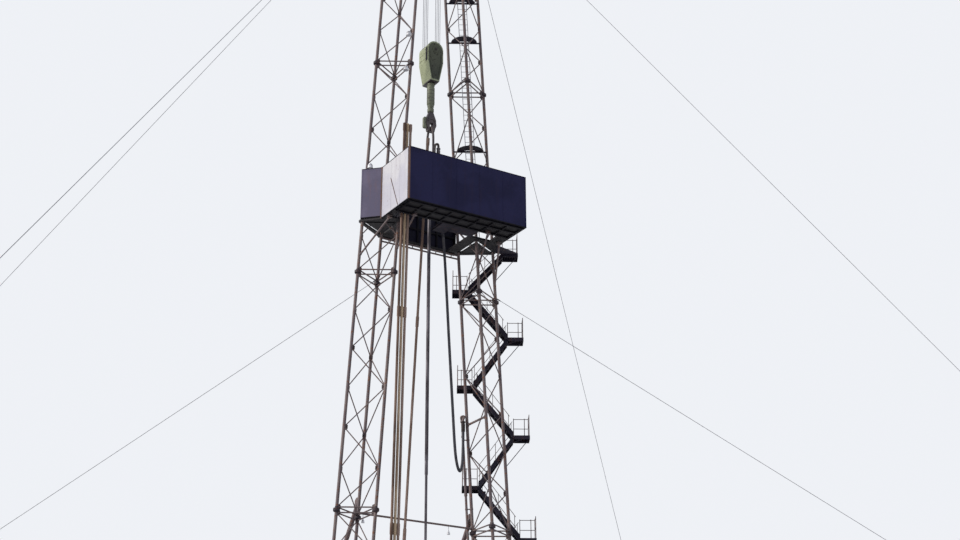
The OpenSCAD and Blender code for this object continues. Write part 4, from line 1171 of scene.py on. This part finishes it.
def guys():
    b, a = Builder("guy_wires"), Builder("guy_anchor_blocks")
    block_top, ear_top = 0.22, 0.304
    for s, t in ((-1, -1), (-1, 1), (1, -1), (1, 1)):
        x, y = s * ANCHOR_X, t * ANCHOR_Y
        top = Vector((s * 1.2563, t * HALF_SIDE, TOP_Z + CROWN_BEAM_H / 2))
        guy(b, top, Vector((x - s * 0.012, y + t * 0.009, ear_top)))
        if s != t:
            guy(b, chord(s, 1 if s < 0 else 2, MID_Z + 0.12), Vector((x - s * 0.002, y - t * 0.015, ear_top)))
        a.paint = 0
        a.loft([[Vector((x + p, y + q, h)) for p, q in rect(e, e)]
                for e, h in ((0.25, 0), (0.25, 0.19), (0.222, block_top))])
        a.paint = 1
        a.pad(x, y, 0.08, 0.08, block_top, block_top + 0.012)
        a.pad(x, y, 0.02, 0.02, 0.23, 0.3)
        a.four_bolts((x, y, block_top + 0.012), 0.06, 0.06, 0.007, 0.014)
    b.done(["guy_ropes"], "wire", "wire", "machine")
    a.done(["guy_anchors"], "anchor", "concrete", "machine")


# Hoist

def make_hose():
    path = smooth_path(HOSE_ROUTE, 8)
    b = Builder("rotary_hose_skin")
    b.sweep(path, HOSE_R, 16)
    hose = b.done(["rotary_hose"], "hose", "hose", body=None, sharp=60)
    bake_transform(hose)
    coupling = mm(36, 0, 50, 4, 50, 30, 38, 34, 38, 60, 44, 66, 44, 240, 36, 252)
    for name, body, end in (("upper_hose_coupling", "block", HOSE_ROUTE[0]),
                            ("lower_hose_coupling", "frame", HOSE_ROUTE[-1])):
        c = Builder(name)
        at = Vector(end) + Z * 0.02
        c.lathe(at, -Z, coupling, 20)
        for k in range(3):
            c.lathe(at - Z * (0.09 + 0.05 * k), -Z, band(0.0465, 0.015, 0.0025, 0.003), 20)
        c.done((), "steel", "machine", body=body)


def hoist_ropes():
    b = Builder("hoist_rope_parts")
    reach, parts = CROWN_PIN_Z - BLOCK_PIN_Z, 12
    for s in (-1, 1):
        for y in SHEAVE_YS:
            b.lathe((s * ROPE_X, y, BLOCK_PIN_Z), Z,
                    [(ROPE_R - 0.0005, k * reach / parts) for k in range(parts + 1)], 10)
    ropes = b.done(["hoist_lines"], "wire", "wire")
    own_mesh(ropes)


def block_cheek(b, s, outline):
    """One cheek plate with its dark green panel, hub, bolts and two ribs; the panel, the hub's wide disc and
    the ribs are painted shade of the cheek's recess.
    """
    def at(out):
        return Vector((0, s * (CHEEK_Y + out), BLOCK_PIN_Z))
    b.paint = 0
    b.plate(at(0.007), X, Z, outline, 0.014)
    # Paint 2 is painted shade: the dark green panel and disc stand for the cheek's recess in shadow
    b.paint = 2
    b.plate(at(0.0145), X, Z, [(x * 0.9, (z + 0.3) * 0.93 - 0.3) for x, z in outline], 0.002)
    b.lathe(at(0.012), Y * s, mm(105, 0, 105, 4, 80, 10, 78, 13), 28)
    b.paint = 1
    b.lathe(at(0.012), Y * s, mm(42, 0, 42, 16, 36, 19), 6)
    b.bolt_ring(at(0.016), Y * s, 10, 0.092, 0.005, 0.007)
    # The ribs take the same painted shade
    b.paint = 2
    for e in (-1, 1):
        b.loft([[at(0.012 + w) + Vector((x + d, 0, z)) for d, w in ((-0.008, 0), (0.008, 0), (0.008, 0.011),
                                                                   (-0.008, 0.011))]
                for x, z in ((e * 0.15, -0.12), (e * 0.15, SHOULDER), (e * 0.06, CHIN + 0.03))])
    b.paint = 1
    edge = [(BLOCK_R, -0.12), (BLOCK_R, -0.24), (BLOCK_R, SHOULDER), (0.165, -0.605), (0.125, -0.8)]
    for x, z in outline[::3] + edge + [(-x, z) for x, z in edge]:
        b.bolt(at(0.014) + Vector((x * 0.93, 0, z * (0.93 if z > 0 else 0.99))), Y * s, 0.0055, 0.007)


def block_rim(b, s):
    """The rim plates between the cheeks on one side, open where the lines go in, with a dark strip near the
    front cheek that is painted shade of the slot there.
    """
    rim_t = 0.01
    inner_r = BLOCK_R - rim_t

    def guard(arc_from, arc_to, y0, y1):
        ring = []
        for k in range(7):
            a = arc_from + (arc_to - arc_from) * k / 6
            a = radians(a if s > 0 else 180 - a)
            ring.append([Vector((r * cos(a), y, BLOCK_PIN_Z + r * sin(a)))
                         for r, y in ((BLOCK_R, y0), (BLOCK_R, y1), (inner_r, y1), (inner_r, y0))])
        b.loft(ring)
    slot_y, slot_from, slot_to = 0.145, 22, 46
    b.paint = 0
    guard(0, slot_from, -CHEEK_Y, CHEEK_Y)
    guard(slot_from, slot_to, slot_y, CHEEK_Y)
    guard(slot_from, slot_to, -CHEEK_Y, -slot_y)
    guard(slot_to, 90, -CHEEK_Y, CHEEK_Y)
    side = [(BLOCK_R, 0), (BLOCK_R, SHOULDER), (CHIN_X, CHIN)]
    for (x0, z0), (x1, z1) in zip(side, side[1:]):
        out = Vector((z0 - z1, 0, x1 - x0)).normalized() * rim_t
        corners = (x0, z0), (x1, z1), (x1 - out.x, z1 - out.z), (x0 - out.x, z0 - out.z)
        b.loft([[Vector((s * x, y, BLOCK_PIN_Z + z)) for x, z in corners] for y in (-CHEEK_Y, CHEEK_Y)])
    for z in (-0.1, -0.25):
        b.pad(s * (BLOCK_R + 0.003), 0, 0.003, CHEEK_Y, BLOCK_PIN_Z + z - 0.015, BLOCK_PIN_Z + z + 0.015)
    # Paint 3 is painted shade: a dark strip for the shadowed slot near the front cheek
    b.paint = 3
    b.pad(s * (BLOCK_R + 0.00325), -0.1525, 0.00325, 0.0425, BLOCK_PIN_Z - 0.345, BLOCK_PIN_Z + 0.03)


def travelling_block():
    b = Builder("block_housing")
    outline = [(BLOCK_R * cos(pi * k / 24), BLOCK_R * sin(pi * k / 24)) for k in range(25)]
    outline += [(-BLOCK_R, SHOULDER), (-CHIN_X, CHIN), (CHIN_X, CHIN), (BLOCK_R, SHOULDER)]
    for s in (-1, 1):
        block_cheek(b, s, outline)
        block_rim(b, s)
    b.paint = 1
    b.pad(0, 0, 0.118, CHEEK_Y, BLOCK_BOTTOM, BLOCK_BOTTOM + 0.03)
    b.pad(0, 0, 0.14, CHEEK_Y, BLOCK_PIN_Z - 0.64, BLOCK_PIN_Z - 0.6)
    # The third finish is the cheeks' painted shade, the fourth the slot's painted shade
    b.done(["travelling_block"], "green", "green", "machine", "green_recess_shade", "gap", body="block")
    sheave_cluster("block_sheave_wheels", BLOCK_PIN_Z, CHEEK_Y - 0.0003, "block", "block_sheaves")


def hook():
    b = Builder("hook_body")
    top = BLOCK_BOTTOM
    barrel = mm(75, 0, 95, 10, 95, 60, 86, 75, 86, 110, 95, 120, 95, 560, 88, 590, 80, 600, 80, 640,
                70, 650, 70, 690, 80, 700, 80, 780, 64, 800)
    b.lathe(Z * top, -Z, barrel, 32)
    b.paint = 1
    b.bolt_ring(Z * (top - 0.062), -Z, 8, 0.088, 0.006, 0.009)
    for drop in (0.2, 0.3, 0.4, 0.5):
        b.lathe(Z * (top - drop), -Z, band(0.0965, 0.014, 0.0025, 0.002), 32)
    half = 0.05
    slot_low, slot_high, tip, neck = BAIL_Z - 0.0603, BAIL_Z + 0.09, top - 1.32, top - 1.0
    prong = [(0.138, slot_high + 0.001), (0.14, top - 1.15), (0.102, slot_low), (0.04, slot_low),
             (0.04, slot_high + 0.001)]
    for outline in ([(-0.045, top - 0.78), (0.045, top - 0.78), (0.13, neck), (0.1325, slot_high),
                     (-0.1325, slot_high), (-0.13, neck)],
                    prong, [(-x, z) for x, z in prong],
                    [(-0.104, slot_low + 0.001), (0.104, slot_low + 0.001), (0.09, tip), (-0.09, tip)]):
        b.plate((0, 0, 0), X, Z, outline, 2 * half)
    for s in (-1, 1):
        b.plate((0, s * (half + 0.004), 0), X, Z, [(-0.035, top - 0.82), (0.035, top - 0.82), (0.09, neck),
                                                   (-0.09, neck)], 0.01)
        for t in (-1, 1):
            b.lathe((s * 0.085, t * half, top - 1.03), Y * t, mm(22, 0, 22, 12, 16, 16), 14)
    b.paint = 0
    latch = mm(-37.5, -1230, -20, -1250, 37.5, -1250, 37.5, -960, -20, -960, -37.5, -985)
    b.plate((-0.1625, 0, top), X, Z, latch, 0.07)
    b.done(["hook"], "green", "green_mid", "hook_iron", body="block")


def swivel():
    b = Builder("swivel_body")
    z, ear_z, neck_x, tube_r = SWIVEL_Z, SWIVEL_Z + 0.6, 0.12, 0.029
    body = mm(70, 0, 90, 10, 90, 80, 135, 120, 160, 190, 165, 240, 165, 600, 158, 620, 158, 660, 165, 670,
              165, 700, 120, 760, 95, 780, 95, 860, 110, 870, 110, 900)
    b.lathe(Z * z, Z, body, 40)
    b.paint = 1
    b.bolt_ring(Z * (z + 0.7), Z, 12, 0.15, 0.007, 0.012)
    for s in (-1, 1):
        b.lathe((0, s * 0.12, ear_z + 0.02), Y * s, mm(60, 0, 60, 40, 44, 50, 44, 66), 20)
    leg, rise = 0.15, BAIL_Z - 0.03 - ear_z
    bail = [(0, -leg, ear_z), (0, -leg, ear_z + rise * 0.55), (0, -leg * 0.92, ear_z + rise * 0.78),
            (0, -leg * 0.62, ear_z + rise * 0.94), (0, -0.045, BAIL_Z - 0.031)]
    bail += [(0, -y, h) for _, y, h in reversed(bail)]
    b.sweep(smooth_path(bail, 3), tube_r, 16)
    b.paint = 0
    start = Vector(HOSE_ROUTE[0])
    neck = [(neck_x, 0, z + 0.88), (0.124, 0, z + 1.1), (0.135, 0, z + 1.22), (0.178, 0, z + 1.268),
            (0.218, 0, start.z + 0.12), start + Z * 0.06, start]
    b.sweep(smooth_path(neck, 4), tube_r, 18)
    b.lathe((neck_x, 0, z + 0.86), Z, band(0.052, 0.04, 0.002, 0.004), 12)
    b.done(["swivel"], "green", "swivel", "hook_iron", body="block")


def drill_string():
    """The six-sided kelly under its saver sub, and the drill pipe below it."""
    b = Builder("kelly_and_pipe")
    start, pipe_length, bottom = 9.7, 4.75, 0.1
    corner = [(0.985 * KELLY_R * cos(radians(60 * k + d)), 0.985 * KELLY_R * sin(radians(60 * k + d)))
              for k in range(6) for d in (-5, 5)]
    low, high, taper = start + 0.34, SWIVEL_Z - 0.46, 0.04
    b.loft([[Vector((x * f, y * f, z)) for x, y in corner]
            for f, z in ((0.8, low - taper), (1, low), (1, high), (0.8, high + taper))])
    saver = mm(38, 0, 43, 12, 43, 200, 36, 212, 36, 230, 43, 242, 43, 440)
    b.lathe(Z * (SWIVEL_Z - 0.44), Z, saver, 20)
    profile = [(JOINT_R - 0.002, start + 0.32), (JOINT_R, start + 0.3), (JOINT_R, start + 0.02),
               (PIPE_R, start - 0.01)]
    z = start - pipe_length
    lower_r = JOINT_R - 0.001
    profile += [(PIPE_R, z + 0.16), (lower_r, z + 0.13), (lower_r, z - 0.13), (PIPE_R, z - 0.16),
                (PIPE_R, bottom)]
    b.lathe((0, 0, 0), Z, profile[::-1], 18)
    b.done(["drill_string"], "string", "string", body="string")


# Stage

def make_floor():
    mesh = bpy.data.meshes.new("floor")
    mesh.from_pydata([(x, y, 0) for x, y in rect(300, 300)], [], [(0, 1, 2, 3)])
    floor = bpy.data.objects.new("floor", mesh)
    bpy.context.collection.objects.link(floor)
    n = Paint("floor_paint")
    colour = n.mix(n.noise(0.4, 3), (0.72, 0.72, 0.73), (0.78, 0.78, 0.79))
    mesh.materials.append(n.finish({"Base Color": colour, "Roughness": 0.9}))


def make_light():
    """A pale sky, dimmer as a light than to the eye, a warm sun and a weak cool fill."""
    world = bpy.data.worlds.new("studio")
    bpy.context.scene.world = world
    world.use_nodes = True
    tree = world.node_tree
    seen = tree.nodes["Background"]
    put(seen, {"Color": (0.86, 0.88, 0.92)})
    lit = make(tree, "Background", {"Color": (0.8, 0.86, 1.0), "Strength": 0.34})
    rays = make(tree, "LightPath", {}).outputs
    either = make(tree, "Math", {0: rays["Is Camera Ray"], 1: rays["Is Glossy Ray"]}, operation="MAXIMUM")
    both = make(tree, "MixShader", {"Fac": either.outputs[0], 1: lit.outputs[0], 2: seen.outputs[0]})
    put(tree.nodes["World Output"], {"Surface": both.outputs[0]})
    for name, turn, energy, angle, colour in (("key", (62, 0, -100), 2.7, 12, (1.0, 0.94, 0.86)),
                                              ("fill", (55, 0, 28), 0.25, 40, (0.85, 0.9, 1.0))):
        data = bpy.data.lights.new(name, "SUN")
        data.energy = energy
        data.angle = radians(angle)
        data.color = colour
        sun = bpy.data.objects.new(name, data)
        sun.rotation_euler = [radians(a) for a in turn]
        bpy.context.collection.objects.link(sun)
    bpy.context.scene.view_settings.view_transform = "Standard"


make_camera()
make_hose()
for cad_node, finish in (("base_skids", "dark"), ("rest_platforms", "dark"), ("rig_floor", "deck"),
                         ("balcony_floor", "dark_deck")):
    dress(cad_node, finish)
for leg_side in (-1, 1):
    for leg_part in (1, 2, 3, 4):
        leg_section(leg_side, leg_part)
for build in (leg_feet, substructure, deck_fittings, rotary_table, rear_struts, belts, balcony_walls,
              balcony_joists, knee_braces, finger_board, racked_stands, stair, ladder, lamps, crown_beams,
              crown_deck, crown_sheaves, crown_bearings, gin_pole, standpipe, guys, hoist_ropes,
              travelling_block, hook, swivel, drill_string, make_floor, make_light):
    build()
